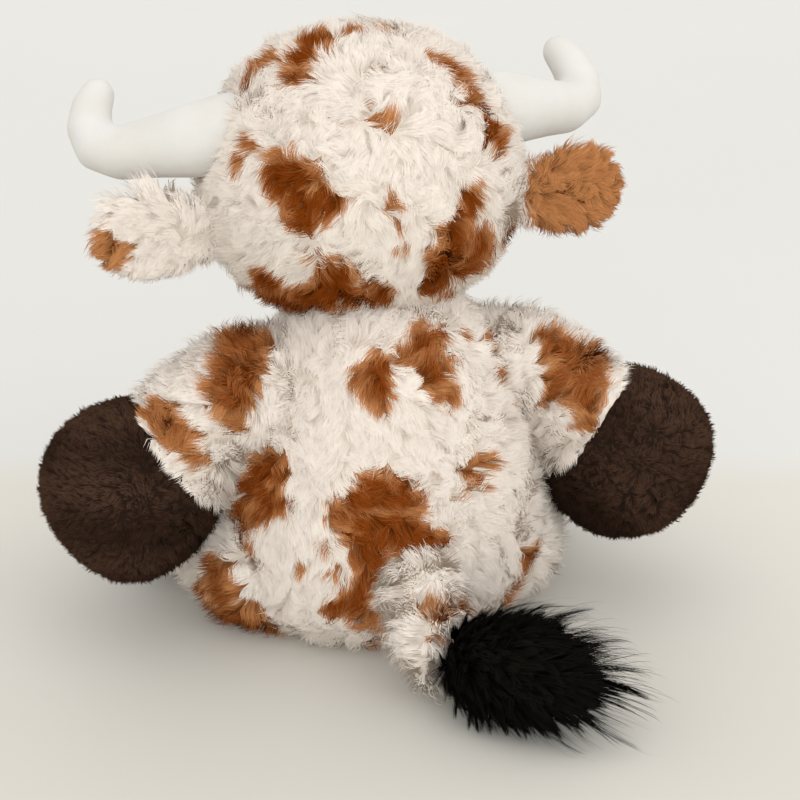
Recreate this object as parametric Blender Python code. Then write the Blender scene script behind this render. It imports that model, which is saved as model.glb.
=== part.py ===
"""A seated plush cow, seen from behind in its photograph: stuffed skins joined by seams.

The toy faces -Y, +X is its own left and +Z is up. The origin is the middle of the flat seat.
Every skin is a shell with the openings that its seams leave, filled with stuffing.
"""

import math

import bmesh
import bpy
from mathutils import Matrix, Vector

# Cloth, seams and clearances
SKIN = 0.0016
SEAM_GAP = 0.0003
PRESS_GAP = 0.001
HIP_GAP = 0.0009
CUT_OVERRUN = 0.012
STAND_CUT = 0.0005
THREAD_RADIUS = 0.001

# Torso: a pear under a round dome that the head sits on
DOME_RADIUS = 0.055
DOME_HEIGHT = 0.109
DOME_FORWARD = 0.005
DOME_FOOT_DEG = 75.0
DOME_RING_DEG = (75.0, 62.0, 49.0, 36.0)
NECK_OPENING_RADIUS = 0.020
TORSO_HALF_WIDTH = 0.0745
TORSO_HALF_DEPTH = 0.059
TORSO_HEIGHT_SHARES = (0.0, 0.012, 0.05, 0.13, 0.26, 0.42, 0.60, 0.78, 0.91)
TORSO_WIDTH_SHARES = (0.56, 0.65, 0.77, 0.89, 0.98, 1.0, 0.96, 0.875, 0.785)
TORSO_DEPTH_SHARES = (0.55, 0.64, 0.76, 0.89, 0.98, 1.0, 0.99, 0.965, 0.93)
PELLET_BAG_HEIGHT = 0.024

# Neck seam: the ring of stitched seam allowance between dome and head
NECK_SEAM_DEG = 27.0

# Head: a wide ball, leaning a little to its left
HEAD_RISE = 0.102
HEAD_FORWARD = 0.017
HEAD_LEAN_DEG = 2.9
HEAD_HALF_WIDTH = 0.0715
HEAD_HALF_DEPTH = 0.065
HEAD_HALF_HEIGHT = 0.0635
HEAD_HEIGHT_SHARES = (-0.95, -0.82, -0.62, -0.35, -0.05, 0.25, 0.52, 0.74, 0.90, 0.985)
HEAD_WIDTH_SHARES = (0.34, 0.60, 0.81, 0.95, 1.0, 0.965, 0.86, 0.69, 0.46, 0.18)

# Face: muzzle, stitched nostrils and mouth, and safety eyes held by washers
MUZZLE_HALF_WIDTH = 0.036
MUZZLE_HALF_DEPTH = 0.030
MUZZLE_HALF_HEIGHT = 0.026
MUZZLE_DROP = 0.020
MUZZLE_AHEAD = 0.058
MUZZLE_RING_DEG = (-50.0, -20.0, 5.0, 28.0, 50.0, 70.0, 84.0)
NOSTRIL_RADIUS = 0.0048
NOSTRIL_THICKNESS = 0.0016
NOSTRIL_SIDE_DEG = 24.0
NOSTRIL_RISE_DEG = 16.0
MOUTH_SPAN_DEG = 34.0
MOUTH_DROP_DEG = 24.0
EYE_RADIUS = 0.0065
EYE_DOME_RISE_SHARES = (0.0, 0.28, 0.50, 0.62)
EYE_DOME_RADIUS_SHARES = (1.0, 0.93, 0.65, 0.25)
EYE_SIDE_DEG = 27.0
EYE_RISE = 0.014
STEM_RADIUS = 0.002
STEM_LENGTH = 0.010
WASHER_RADIUS = 0.0075
WASHER_THICKNESS = 0.0014
WASHER_DEPTH = 0.0038

# Horns: smooth tapered tubes that sweep out, forward and up
HORN_ROOT_RADIUS = 0.0188
HORN_RADIUS_SHARES = (1.0, 0.97, 0.86, 0.72, 0.66, 0.625, 0.56, 0.49, 0.39, 0.17)
HORN_REACH = 0.066
HORN_RISE = 0.0385
HORN_AHEAD = 0.046
HORN_START = 0.050
HORN_REACH_SHARES = (0.0, 0.21, 0.43, 0.66, 0.86, 1.0, 1.035, 0.99, 0.91, 0.865)
HORN_AHEAD_SHARES = (-0.04, 0.0, 0.07, 0.23, 0.37, 0.50, 0.65, 0.81, 0.915, 0.95)
HORN_RISE_SHARES = (0.64, 0.61, 0.57, 0.50, 0.445, 0.52, 0.71, 0.93, 1.10, 1.16)

# Ears: two flat layers, hinged behind the horns
EAR_LENGTH = 0.0455
EAR_HALF_WIDTH = 0.0175
EAR_ROOT_RADIUS = 0.009
EAR_LAYER = 0.0038
EAR_DROP = 0.0165
EAR_BACK = 0.009
EAR_SINK = 0.0005
EAR_ROOT_DEG = (120.0, 150.0, 180.0, 210.0, 240.0)
EAR_RUN_SHARES = (0.0, 0.14, 0.32, 0.52, 0.72, 0.87, 0.965)
EAR_WIDTH_SHARES = (0.53, 0.74, 0.94, 1.0, 0.90, 0.66, 0.34)
EAR_MIDDLE_SHARE = 0.45
EAR_LAYER_SHARES = (0.0, 0.35, 1.0)
EAR_ROUND_SHARES = (0.93, 1.0, 0.86)

# Arms: a sleeve turned down from the shoulder, with a round hoof
ARM_AXIS_HEIGHT = 0.115
ARM_ROOT_RADIUS = 0.024
ARM_CUFF_RADIUS = 0.027
ARM_CUFF_OUT = 0.095
ARM_CUFF_DROP = 0.0265
ARM_CUFF_AHEAD = 0.001
ARM_HOOF_RADIUS = 0.0405
ARM_HOOF_LENGTH = 0.066
ARM_HOOF_DROP_DEG = 36.0
ARM_HOOF_AHEAD_DEG = 12.0
ARM_FORWARD_SWING_DEG = 60.0
ARM_BACK_SWING_DEG = 30.0
ARM_REST_DEG = {"left": 0.0, "right": 25.0}
ARM_SWING_STEPS = 6
SLEEVE_BEND_SHARES = (0.35, 0.7, 1.0)

# Legs: a ball at the hip, then a short sleeve and a round hoof, lying on the table
LEG_ROOT_RADIUS = 0.030
HIP_OUT = 0.054
HIP_FORWARD = 0.005
LEG_SPLAY_DEG = 17.0
LEG_ANKLE_RADIUS = 0.0265
LEG_CUFF_RUN = 0.047
LEG_HOOF_RADIUS = 0.0355
LEG_HOOF_LENGTH = 0.066
LEG_LIFT_DEG = 25.0
LEG_LIFT_STEPS = 3
HIP_OPENING_DEG = 46.0
HIP_RING_DEG = (HIP_OPENING_DEG, 68.0, 90.0)
LEG_SLEEVE_SHARES = (0.5, 1.0)

# Hoof outline from its cuff to its end, and the cleft between its two toes
HOOF_RUN_SHARES = (0.0, 0.12, 0.30, 0.50, 0.68, 0.83, 0.93, 0.985)
HOOF_SWELL_SHARES = (0.0, 0.52, 0.88, 1.0, 0.97, 0.83, 0.60, 0.28)
HOOF_CLEFT_SHARE = 0.10
HOOF_CLEFT_DEG = 22.0

# Tail: a furry tube from the lower back to a long-haired tuft on the table
TAIL_ROOT_RADIUS = 0.0125
TAIL_ROOT_HEIGHT = 0.041
TAIL_ROOT_OUT = 0.0065
TAIL_END_RADIUS = 0.0145
TAIL_RUN = 0.028
TAIL_END_HEIGHT = 0.021
TAIL_BEND = 0.002
TAIL_RING_DEG = (14.0, 55.0, 90.0)
TAIL_RUN_SHARES = (0.3, 0.6, 0.85, 1.0)
TUFT_LENGTH = 0.072
TUFT_RADIUS = 0.0255
TUFT_SIDE_DEG = 40.0
TUFT_RUN_SHARES = (0.0, 0.10, 0.28, 0.50, 0.72, 0.90, 1.0)
TUFT_RADIUS_SHARES = (0.50, 0.74, 0.95, 1.0, 0.88, 0.58, 0.22)

# Numbers of sides and steps
TORSO_SIDES = 24
HEAD_SIDES = 24
LIMB_SIDES = 16
HORN_SIDES = 14
SMALL_SIDES = 12
CUTTER_SIDES = 28

FACING = Vector((0.0, -1.0, 0.0))
OUT = Vector((1.0, 0.0, 0.0))
UP = Vector((0.0, 0.0, 1.0))
SIDE_SHARES = {"left": 1.0, "right": -1.0}

DOME_CENTRE = Vector((0.0, -DOME_FORWARD, DOME_HEIGHT))
DOME_FOOT_HEIGHT = DOME_HEIGHT + DOME_RADIUS * math.cos(math.radians(DOME_FOOT_DEG))
NECK_CLEARANCE = 2.0 * (THREAD_RADIUS + SEAM_GAP)
HEAD_CENTRE = Vector((0.0, -HEAD_FORWARD, HEAD_RISE))

COLOURS = {
    "cream_plush": ((0.74, 0.66, 0.57), 0.95),
    "hoof_plush": ((0.035, 0.022, 0.017), 0.9),
    "horn_velour": ((0.80, 0.77, 0.71), 0.85),
    "brown_plush": ((0.28, 0.10, 0.035), 0.95),
    "muzzle_plush": ((0.62, 0.44, 0.35), 0.9),
    "black_hair": ((0.006, 0.005, 0.005), 0.6),
    "stuffing": ((0.85, 0.85, 0.85), 1.0),
    "pellet_cloth": ((0.55, 0.55, 0.52), 0.9),
    "thread": ((0.05, 0.03, 0.02), 0.8),
    "eye_plastic": ((0.008, 0.005, 0.004), 0.12),
    "washer_plastic": ((0.80, 0.80, 0.80), 0.4),
}


def clear_scene():
    for old in list(bpy.context.scene.objects):
        bpy.data.objects.remove(old, do_unlink=True)


def material(name):
    found = bpy.data.materials.get(name)
    if found:
        return found
    made = bpy.data.materials.new(name)
    made.use_nodes = True
    colour, roughness = COLOURS[name]
    shader = made.node_tree.nodes["Principled BSDF"]
    shader.inputs["Base Color"].default_value = (*colour, 1.0)
    shader.inputs["Roughness"].default_value = roughness
    shader.inputs["Metallic"].default_value = 0.0
    made.diffuse_color = (*colour, 1.0)
    return made


def add_object(name, bm, finish):
    """An object from a bmesh, shaded smooth, with its faces pointing out."""
    bmesh.ops.recalc_face_normals(bm, faces=bm.faces)
    mesh = bpy.data.meshes.new(name)
    bm.to_mesh(mesh)
    bm.free()
    mesh.shade_smooth()
    mesh.set_sharp_from_angle(angle=math.radians(50.0))
    obj = bpy.data.objects.new(name, mesh)
    bpy.context.scene.collection.objects.link(obj)
    if finish:
        mesh.materials.append(material(finish))
    else:
        obj.hide_render = True
        obj.display_type = "WIRE"
    return obj


def ring(centre, across, along, half_across, half_along, sides, shape=None):
    """Points round an ellipse; shape scales the radius by the angle."""
    points = []
    for step in range(sides):
        angle = math.tau * step / sides
        scale = shape(angle) if shape else 1.0
        points.append(
            centre
            + across * (half_across * scale * math.cos(angle))
            + along * (half_along * scale * math.sin(angle))
        )
    return points


def bridge(bm, low, high):
    count = len(low)
    for i in range(count):
        j = (i + 1) % count
        bm.faces.new([low[i], low[j], high[j], high[i]])


def skin_rings(bm, rings):
    """Faces between neighbouring rings; returns the rings' vertices."""
    made = [[bm.verts.new(point) for point in points] for points in rings]
    for low, high in zip(made, made[1:]):
        bridge(bm, low, high)
    return made


def solid(name, rings, finish):
    """A closed body with a flat cap on its first and last ring."""
    bm = bmesh.new()
    made = skin_rings(bm, rings)
    bm.faces.new(made[0])
    bm.faces.new(made[-1])
    return add_object(name, bm, finish)


def bag(name, outer, inner, finish):
    """A shell that is open at its first ring and closed at its last."""
    bm = bmesh.new()
    outside = skin_rings(bm, outer)
    inside = skin_rings(bm, inner)
    bridge(bm, inside[0], outside[0])
    bm.faces.new(outside[-1])
    bm.faces.new(inside[-1])
    return add_object(name, bm, finish)


def tube(name, outer, inner, finish):
    """A shell that is open at both ends."""
    bm = bmesh.new()
    outside = skin_rings(bm, outer)
    inside = skin_rings(bm, inner)
    bridge(bm, inside[0], outside[0])
    bridge(bm, inside[-1], outside[-1])
    return add_object(name, bm, finish)


def ball(name, centre, radius, sides, finish=None):
    bm = bmesh.new()
    bmesh.ops.create_uvsphere(bm, u_segments=sides, v_segments=sides // 2, radius=radius)
    obj = add_object(name, bm, finish)
    obj.location = centre
    return obj


def disc(name, centre, axis, radius, depth, sides, finish=None):
    """A cylinder whose first face is centred on centre and which runs along axis."""
    bm = bmesh.new()
    bmesh.ops.create_cone(
        bm, cap_ends=True, segments=sides, radius1=radius, radius2=radius, depth=depth
    )
    bmesh.ops.translate(bm, verts=bm.verts, vec=UP * (depth / 2))
    obj = add_object(name, bm, finish)
    obj.location = centre
    obj.rotation_mode = "QUATERNION"
    obj.rotation_quaternion = axis.to_track_quat("Z", "Y")
    return obj


def combine(obj, other, operation="DIFFERENCE"):
    modifier = obj.modifiers.new(f"{operation.lower()} {other.name}", "BOOLEAN")
    modifier.operation = operation
    modifier.solver = "EXACT"
    modifier.object = other


def mirrored(point, side):
    return Vector((point.x * SIDE_SHARES[side], point.y, point.z))


def between(shares, values, share):
    """The value at a share of the way, on straight lines between the listed ones."""
    if share <= shares[0]:
        return values[0]
    for low, high, first, last in zip(shares, shares[1:], values, values[1:]):
        if share <= high:
            return first + (last - first) * (share - low) / (high - low)
    return values[-1]


def flats_outside(radius, sides):
    """The corner radius that keeps a faceted cutter's flats at this radius."""
    return radius / math.cos(math.pi / sides) ** 2


def empty(name, location, parent=None):
    made = bpy.data.objects.new(name, None)
    made.location = location
    made.parent = parent
    bpy.context.scene.collection.objects.link(made)
    return made


def frames(centres):
    """At each centre, the direction of travel and two directions across it, without twist."""
    found = []
    along = UP
    for i, centre in enumerate(centres):
        ahead = centres[min(i + 1, len(centres) - 1)] - centres[max(i - 1, 0)]
        ahead = ahead.normalized()
        along = (along - ahead * along.dot(ahead)).normalized()
        found.append((ahead, along.cross(ahead), along))
    return found


def pipe_rings(centres, radii, sides, inset=0.0):
    """Round rings along a line of centres; an inset keeps clear of the last ring's cap too."""
    rings = []
    for i, (ahead, across, along) in enumerate(frames(centres)):
        centre = centres[i] - ahead * (inset * i / (len(centres) - 1))
        rings.append(ring(centre, across, along, radii[i] - inset, radii[i] - inset, sides))
    return rings


# Torso


def torso_at(height):
    """Half width, half depth and the middle's place along Y, at a height up to the dome's foot."""
    share = height / DOME_FOOT_HEIGHT
    foot = DOME_RADIUS * math.sin(math.radians(DOME_FOOT_DEG))
    shares = (*TORSO_HEIGHT_SHARES, 1.0)
    widths = [TORSO_HALF_WIDTH * s for s in TORSO_WIDTH_SHARES] + [foot]
    depths = [TORSO_HALF_DEPTH * s for s in TORSO_DEPTH_SHARES] + [foot]
    return between(shares, widths, share), between(shares, depths, share), -DOME_FORWARD * share


def torso_side(y, height):
    """How far out the torso's surface is at a place seen from the side, or zero outside it."""
    if height > DOME_FOOT_HEIGHT:
        left = DOME_RADIUS**2 - (height - DOME_HEIGHT) ** 2 - (y + DOME_FORWARD) ** 2
        return math.sqrt(max(left, 0.0))
    half_width, half_depth, middle = torso_at(max(height, 0.0))
    return half_width * math.sqrt(max(1.0 - ((y - middle) / half_depth) ** 2, 0.0))


def torso_level(height, inset):
    """A ring of the torso's surface, or of a surface an inset inside it, at a height."""
    lift = 1.0 - inset / DOME_FOOT_HEIGHT
    half_width, half_depth, middle = torso_at((height - inset) / lift)
    centre = Vector((0.0, middle, height))
    return ring(centre, OUT, FACING, half_width - inset, half_depth - inset, TORSO_SIDES)


def torso_rings(inset, lowest, dome_degrees):
    """Rings from the dome down to the seat, or to the lowest height asked for."""
    rings = []
    for degrees in sorted(dome_degrees):
        polar = math.radians(degrees)
        centre = DOME_CENTRE + UP * ((DOME_RADIUS - inset) * math.cos(polar))
        across = (DOME_RADIUS - inset) * math.sin(polar)
        rings.append(ring(centre, OUT, FACING, across, across, TORSO_SIDES))
    for share in TORSO_HEIGHT_SHARES[::-1]:
        height = inset + share * (DOME_FOOT_HEIGHT - inset)
        if height >= lowest:
            rings.append(torso_level(height, inset))
    return rings


def neck_opening_deg():
    return math.degrees(math.asin(NECK_OPENING_RADIUS / DOME_RADIUS))


def make_torso(spaces):
    opening = neck_opening_deg()
    skin = bag(
        "torso_skin",
        torso_rings(0.0, 0.0, (*DOME_RING_DEG, opening)),
        torso_rings(SKIN, 0.0, (*DOME_RING_DEG, opening)),
        "cream_plush",
    )
    inside = SKIN + SEAM_GAP
    split = PELLET_BAG_HEIGHT
    filling = torso_rings(inside, split + SEAM_GAP, (*DOME_RING_DEG, opening, opening / 2))
    filling.append(torso_level(split + SEAM_GAP, inside))
    stuffing = solid("torso_stuffing", filling, "stuffing")
    low = [points for points in torso_rings(inside, 0.0, ()) if points[0].z < split - SKIN]
    rim = [torso_level(split, inside + SKIN), torso_level(split - SKIN, inside)]
    pellets = solid("pellet_bag", rim + low, "pellet_cloth")
    for node in (skin, stuffing, pellets):
        for space in spaces:
            combine(node, space)


def make_neck_seam():
    """The rolled seam allowance that joins the two skins, a ring on the dome."""
    polar = math.radians(NECK_SEAM_DEG)
    reach = DOME_RADIUS + NECK_CLEARANCE / 2
    bm = bmesh.new()
    steps = 2 * LIMB_SIDES
    loops = []
    for step in range(steps):
        turn = math.tau * step / steps
        outwards = Vector((math.cos(turn), math.sin(turn), 0.0))
        centre = outwards * (reach * math.sin(polar)) + UP * (reach * math.cos(polar))
        points = ring(centre, outwards, UP, THREAD_RADIUS, THREAD_RADIUS, SMALL_SIDES // 2)
        loops.append([bm.verts.new(point) for point in points])
    for low, high in zip(loops, loops[1:] + loops[:1]):
        bridge(bm, low, high)
    made = add_object("neck_seam", bm, "thread")
    made.location = DOME_CENTRE


# Head, in its own frame: the origin is the dome's centre


def head_at(rise):
    """The head's share of its half width and half depth at a height from its middle."""
    return between(HEAD_HEIGHT_SHARES, HEAD_WIDTH_SHARES, rise / HEAD_HALF_HEIGHT)


def head_side(back, rise):
    """How far out the head's surface is, at a place seen from the side."""
    share = head_at(rise)
    return HEAD_HALF_WIDTH * math.sqrt(max(share**2 - (back / HEAD_HALF_DEPTH) ** 2, 0.0))


def head_rings(inset):
    rings = []
    for height_share, width_share in zip(HEAD_HEIGHT_SHARES, HEAD_WIDTH_SHARES):
        rise = height_share * (HEAD_HALF_HEIGHT - inset)
        rings.append(
            ring(
                HEAD_CENTRE + UP * rise,
                OUT,
                -FACING,
                (HEAD_HALF_WIDTH - inset) * width_share,
                (HEAD_HALF_DEPTH - inset) * width_share,
                HEAD_SIDES,
            )
        )
    return rings


def on_ellipsoid(centre, half_sizes, side_deg, rise_deg):
    """A point on the front of an ellipsoid and its outward direction there."""
    side, rise = math.radians(side_deg), math.radians(rise_deg)
    way = Vector((math.sin(side) * math.cos(rise), -math.cos(side) * math.cos(rise), math.sin(rise)))
    point = centre + Vector(w * h for w, h in zip(way, half_sizes))
    return point, Vector(w / h for w, h in zip(way, half_sizes)).normalized()


def make_head(head, neck_space):
    skin = bag("head_skin", head_rings(0.0), head_rings(SKIN), "cream_plush")
    stuffing = solid("head_stuffing", head_rings(SKIN + SEAM_GAP), "stuffing")
    space = solid("head_space", head_rings(-SEAM_GAP), None)
    for node in (skin, stuffing):
        combine(node, neck_space)
    for piece in (skin, stuffing, space):
        piece.parent = head
    make_muzzle(head, space)
    for side in SIDE_SHARES:
        make_eye(head, side, skin, stuffing)
        make_horn(head, side, space)
        make_ear(head, side)


MUZZLE_SIZES = (MUZZLE_HALF_WIDTH, MUZZLE_HALF_DEPTH, MUZZLE_HALF_HEIGHT)
MUZZLE_CENTRE = HEAD_CENTRE + FACING * MUZZLE_AHEAD - UP * MUZZLE_DROP


def muzzle_rings(inset):
    rings = []
    for degrees in MUZZLE_RING_DEG:
        angle = math.radians(degrees)
        centre = MUZZLE_CENTRE + FACING * ((MUZZLE_HALF_DEPTH - inset) * math.sin(angle))
        rings.append(
            ring(
                centre,
                OUT,
                UP,
                (MUZZLE_HALF_WIDTH - inset) * math.cos(angle),
                (MUZZLE_HALF_HEIGHT - inset) * math.cos(angle),
                LIMB_SIDES + 4,
            )
        )
    return rings


def make_muzzle(head, head_space):
    skin = bag("muzzle_skin", muzzle_rings(0.0), muzzle_rings(SKIN), "muzzle_plush")
    stuffing = solid("muzzle_stuffing", muzzle_rings(SKIN + SEAM_GAP), "stuffing")
    for piece in (skin, stuffing):
        combine(piece, head_space)
        piece.parent = head
    for side in SIDE_SHARES:
        point, out = on_ellipsoid(
            MUZZLE_CENTRE, MUZZLE_SIZES, NOSTRIL_SIDE_DEG * SIDE_SHARES[side], NOSTRIL_RISE_DEG
        )
        nostril = disc(
            f"nostril_{side}",
            point + out * SEAM_GAP,
            out,
            NOSTRIL_RADIUS,
            NOSTRIL_THICKNESS,
            SMALL_SIDES,
            "thread",
        )
        nostril.parent = head
    steps = SMALL_SIDES
    centres = []
    for step in range(steps + 1):
        turn = MOUTH_SPAN_DEG * (2.0 * step / steps - 1.0)
        point, out = on_ellipsoid(MUZZLE_CENTRE, MUZZLE_SIZES, turn, -MOUTH_DROP_DEG)
        centres.append(point + out * (THREAD_RADIUS + SEAM_GAP))
    rings = pipe_rings(centres, [THREAD_RADIUS] * len(centres), SMALL_SIDES // 2)
    mouth = solid("mouth_stitch", rings, "thread")
    mouth.parent = head


def make_eye(head, side, skin, stuffing):
    """A safety eye: its stem goes through the skin and a washer holds it behind."""
    sizes = (HEAD_HALF_WIDTH, HEAD_HALF_DEPTH, HEAD_HALF_HEIGHT)
    turn = math.radians(EYE_SIDE_DEG * SIDE_SHARES[side])
    share = head_at(EYE_RISE)
    reach = Vector((sizes[0] * share * math.sin(turn), -sizes[1] * share * math.cos(turn), EYE_RISE))
    point = HEAD_CENTRE + reach
    out = Vector(along / size**2 for along, size in zip(reach, sizes)).normalized()
    standoff = 2.0 * SEAM_GAP
    profile = [(-STEM_LENGTH, STEM_RADIUS), (standoff, STEM_RADIUS)]
    for rise, radius in zip(EYE_DOME_RISE_SHARES, EYE_DOME_RADIUS_SHARES):
        profile.append((standoff + EYE_RADIUS * rise, EYE_RADIUS * radius))
    across = out.cross(UP).normalized()
    along = out.cross(across)
    rings = [
        ring(point + out * run, across, along, radius, radius, LIMB_SIDES)
        for run, radius in profile
    ]
    eye = solid(f"eye_{side}", rings, "eye_plastic")
    behind = point - out * WASHER_DEPTH
    faces = (behind - out * WASHER_THICKNESS, behind)
    hole = flats_outside(STEM_RADIUS + SEAM_GAP, LIMB_SIDES)
    washer = tube(
        f"eye_washer_{side}",
        [ring(at, across, along, WASHER_RADIUS, WASHER_RADIUS, LIMB_SIDES) for at in faces],
        [ring(at, across, along, hole, hole, LIMB_SIDES) for at in faces],
        "washer_plastic",
    )
    start = point + out * CUT_OVERRUN
    hole_cut = disc(f"eye_hole_{side}", start, -out, hole, 2 * CUT_OVERRUN, LIMB_SIDES)
    pocket = disc(
        f"eye_pocket_{side}",
        start,
        -out,
        WASHER_RADIUS + SEAM_GAP,
        CUT_OVERRUN + STEM_LENGTH + SEAM_GAP,
        LIMB_SIDES,
    )
    combine(skin, hole_cut)
    combine(stuffing, pocket)
    for piece in (eye, washer, hole_cut, pocket):
        piece.parent = head


def make_horn(head, side, head_space):
    centres = []
    for reach, ahead, rise in zip(HORN_REACH_SHARES, HORN_AHEAD_SHARES, HORN_RISE_SHARES):
        place = Vector(
            (HORN_START + HORN_REACH * reach, -HORN_AHEAD * ahead, HORN_RISE * rise)
        )
        centres.append(HEAD_CENTRE + mirrored(place, side))
    radii = [HORN_ROOT_RADIUS * share for share in HORN_RADIUS_SHARES]
    skin = bag(
        f"horn_{side}",
        pipe_rings(centres, radii, HORN_SIDES),
        pipe_rings(centres, radii, HORN_SIDES, SKIN),
        "horn_velour",
    )
    stuffing = solid(
        f"horn_stuffing_{side}",
        pipe_rings(centres, radii, HORN_SIDES, SKIN + SEAM_GAP),
        "stuffing",
    )
    for piece in (skin, stuffing):
        combine(piece, head_space)
        piece.parent = head


def ear_outline():
    """The ear seen from the front, in its hinge's frame: a round root and a leaf."""
    points = []
    for degrees in EAR_ROOT_DEG:
        angle = math.radians(degrees)
        points.append((EAR_ROOT_RADIUS * math.cos(angle), EAR_ROOT_RADIUS * math.sin(angle)))
    side = [
        (EAR_LENGTH * run, EAR_HALF_WIDTH * width)
        for run, width in zip(EAR_RUN_SHARES, EAR_WIDTH_SHARES)
    ]
    lower = [(run, -width) for run, width in side]
    return points + lower + side[::-1]


def make_ear(head, side):
    """Two flat layers sewn back to back, hinged at the side of the head."""
    back = EAR_BACK - EAR_LAYER
    out = head_side(back, -EAR_DROP) + EAR_ROOT_RADIUS - EAR_SINK
    place = HEAD_CENTRE + mirrored(Vector((out, EAR_BACK, -EAR_DROP)), side)
    hinge = empty(f"ear_hinge_{side}", place, head)
    outline = ear_outline()
    middle = EAR_LENGTH * EAR_MIDDLE_SHARE
    for name, finish, way in (
        ("ear_back", "cream_plush", 1.0),
        ("ear_lining", "muzzle_plush", -1.0),
    ):
        rings = []
        for layer_share, size_share in zip(EAR_LAYER_SHARES, EAR_ROUND_SHARES):
            y = way * (SEAM_GAP / 2 + EAR_LAYER * layer_share)
            points = [
                mirrored(
                    Vector((middle + (run - middle) * size_share, y, width * size_share)), side
                )
                for run, width in outline
            ]
            rings.append(points)
        layer = solid(f"{name}_{side}", rings, finish)
        layer.parent = hinge


# Hooves, shared by arms and legs


def hoof_radius(share, swell, cuff, widest):
    if share <= HOOF_RUN_SHARES[HOOF_SWELL_SHARES.index(1.0)]:
        return cuff + (widest - cuff) * swell
    return widest * swell


def cleft(share):
    """The dent between the two toes, which deepens towards the hoof's end."""

    def shape(angle):
        dent = 0.0
        for middle in (math.pi / 2, 3 * math.pi / 2):
            off = math.degrees(angle - middle) / HOOF_CLEFT_DEG
            dent += math.exp(-(off**2))
        return 1.0 - HOOF_CLEFT_SHARE * share**2 * dent

    return shape


# Arms, in the frame of their hinge


def arm_clearance(point):
    """How far out a point of the arm has to lie to pass the torso at every swing."""
    need = 0.0
    whole_swing = ARM_FORWARD_SWING_DEG + ARM_BACK_SWING_DEG
    for step in range(ARM_SWING_STEPS + 1):
        turn = whole_swing * step / ARM_SWING_STEPS - ARM_FORWARD_SWING_DEG
        moved = Matrix.Rotation(math.radians(turn), 3, "X") @ point
        need = max(need, torso_side(moved.y - DOME_FORWARD, moved.z + ARM_AXIS_HEIGHT))
    return need + PRESS_GAP


def press_arm(points, inset):
    """Flattens what would sink into the torso's side."""
    pressed = []
    for point in points:
        beside = math.hypot(point.y, point.z) + inset
        if beside > ARM_ROOT_RADIUS + PRESS_GAP:
            point = Vector((max(point.x, arm_clearance(point) + inset), point.y, point.z))
        pressed.append(point)
    return pressed


def arm_seat():
    rise = ARM_AXIS_HEIGHT + ARM_ROOT_RADIUS - DOME_HEIGHT
    return math.sqrt(DOME_RADIUS**2 - rise**2)


def arm_rings(inset, first, last):
    """Rings from the seat in the torso to the hoof's end; first and last pick a stretch."""
    seat = arm_seat() + SEAM_GAP
    shoulder = torso_side(-DOME_FORWARD, ARM_AXIS_HEIGHT - ARM_ROOT_RADIUS) + PRESS_GAP
    cuff = Vector((ARM_CUFF_OUT, -ARM_CUFF_AHEAD, -ARM_CUFF_DROP))
    drop, ahead = math.radians(ARM_HOOF_DROP_DEG), math.radians(ARM_HOOF_AHEAD_DEG)
    way = Vector(
        (math.cos(drop) * math.cos(ahead), -math.cos(drop) * math.sin(ahead), -math.sin(drop))
    )
    start = OUT * shoulder
    bend = (cuff - start).length
    centres = [OUT * seat, start]
    ways = [OUT, OUT]
    radii = [ARM_ROOT_RADIUS, ARM_ROOT_RADIUS]
    for share in SLEEVE_BEND_SHARES:
        low = start.lerp(start + OUT * (bend / 2), share)
        high = (cuff - way * (bend / 2)).lerp(cuff, share)
        centres.append(low.lerp(high, share))
        ways.append(OUT.lerp(way, share).normalized())
        radii.append(ARM_ROOT_RADIUS + (ARM_CUFF_RADIUS - ARM_ROOT_RADIUS) * share)
    shares = [0.0] * len(centres)
    for run, swell in zip(HOOF_RUN_SHARES, HOOF_SWELL_SHARES):
        centres.append(cuff + way * (SEAM_GAP + (ARM_HOOF_LENGTH - inset) * run))
        ways.append(way)
        radii.append(hoof_radius(run, swell, ARM_CUFF_RADIUS, ARM_HOOF_RADIUS))
        shares.append(run)
    rings = []
    for i in range(first, len(centres) if last is None else last):
        centre, ahead = centres[i], ways[i]
        along = (UP - ahead * ahead.z).normalized()
        radius = radii[i] - inset
        points = ring(
            centre, along.cross(ahead), along, radius, radius, LIMB_SIDES, cleft(shares[i])
        )
        rings.append(press_arm(points, inset) if i > 1 else points)
    return rings


SLEEVE_RINGS = 2 + len(SLEEVE_BEND_SHARES)


def sided(rings, side):
    return [[mirrored(point, side) for point in points] for points in rings]


def make_arm(side):
    hinge = empty(
        f"arm_hinge_{side}", mirrored(Vector((0.0, -DOME_FORWARD, ARM_AXIS_HEIGHT)), side)
    )
    hinge.rotation_euler.x = math.radians(ARM_REST_DEG[side])
    pieces = (
        tube(
            f"arm_sleeve_{side}",
            sided(arm_rings(0.0, 0, SLEEVE_RINGS), side),
            sided(arm_rings(SKIN, 0, SLEEVE_RINGS), side),
            "cream_plush",
        ),
        bag(
            f"arm_hoof_{side}",
            sided(arm_rings(0.0, SLEEVE_RINGS, None), side),
            sided(arm_rings(SKIN, SLEEVE_RINGS, None), side),
            "hoof_plush",
        ),
        solid(
            f"arm_stuffing_{side}", sided(arm_rings(SKIN + SEAM_GAP, 0, None), side), "stuffing"
        ),
    )
    for piece in pieces:
        piece.parent = hinge
    seat = disc(
        f"arm_space_{side}",
        mirrored(Vector((arm_seat(), -DOME_FORWARD, ARM_AXIS_HEIGHT)), side),
        Vector((SIDE_SHARES[side], 0.0, 0.0)),
        flats_outside(ARM_ROOT_RADIUS + SEAM_GAP, CUTTER_SIDES),
        TORSO_HALF_WIDTH,
        CUTTER_SIDES,
    )
    return seat


# Legs, in the frame of their hip


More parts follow.
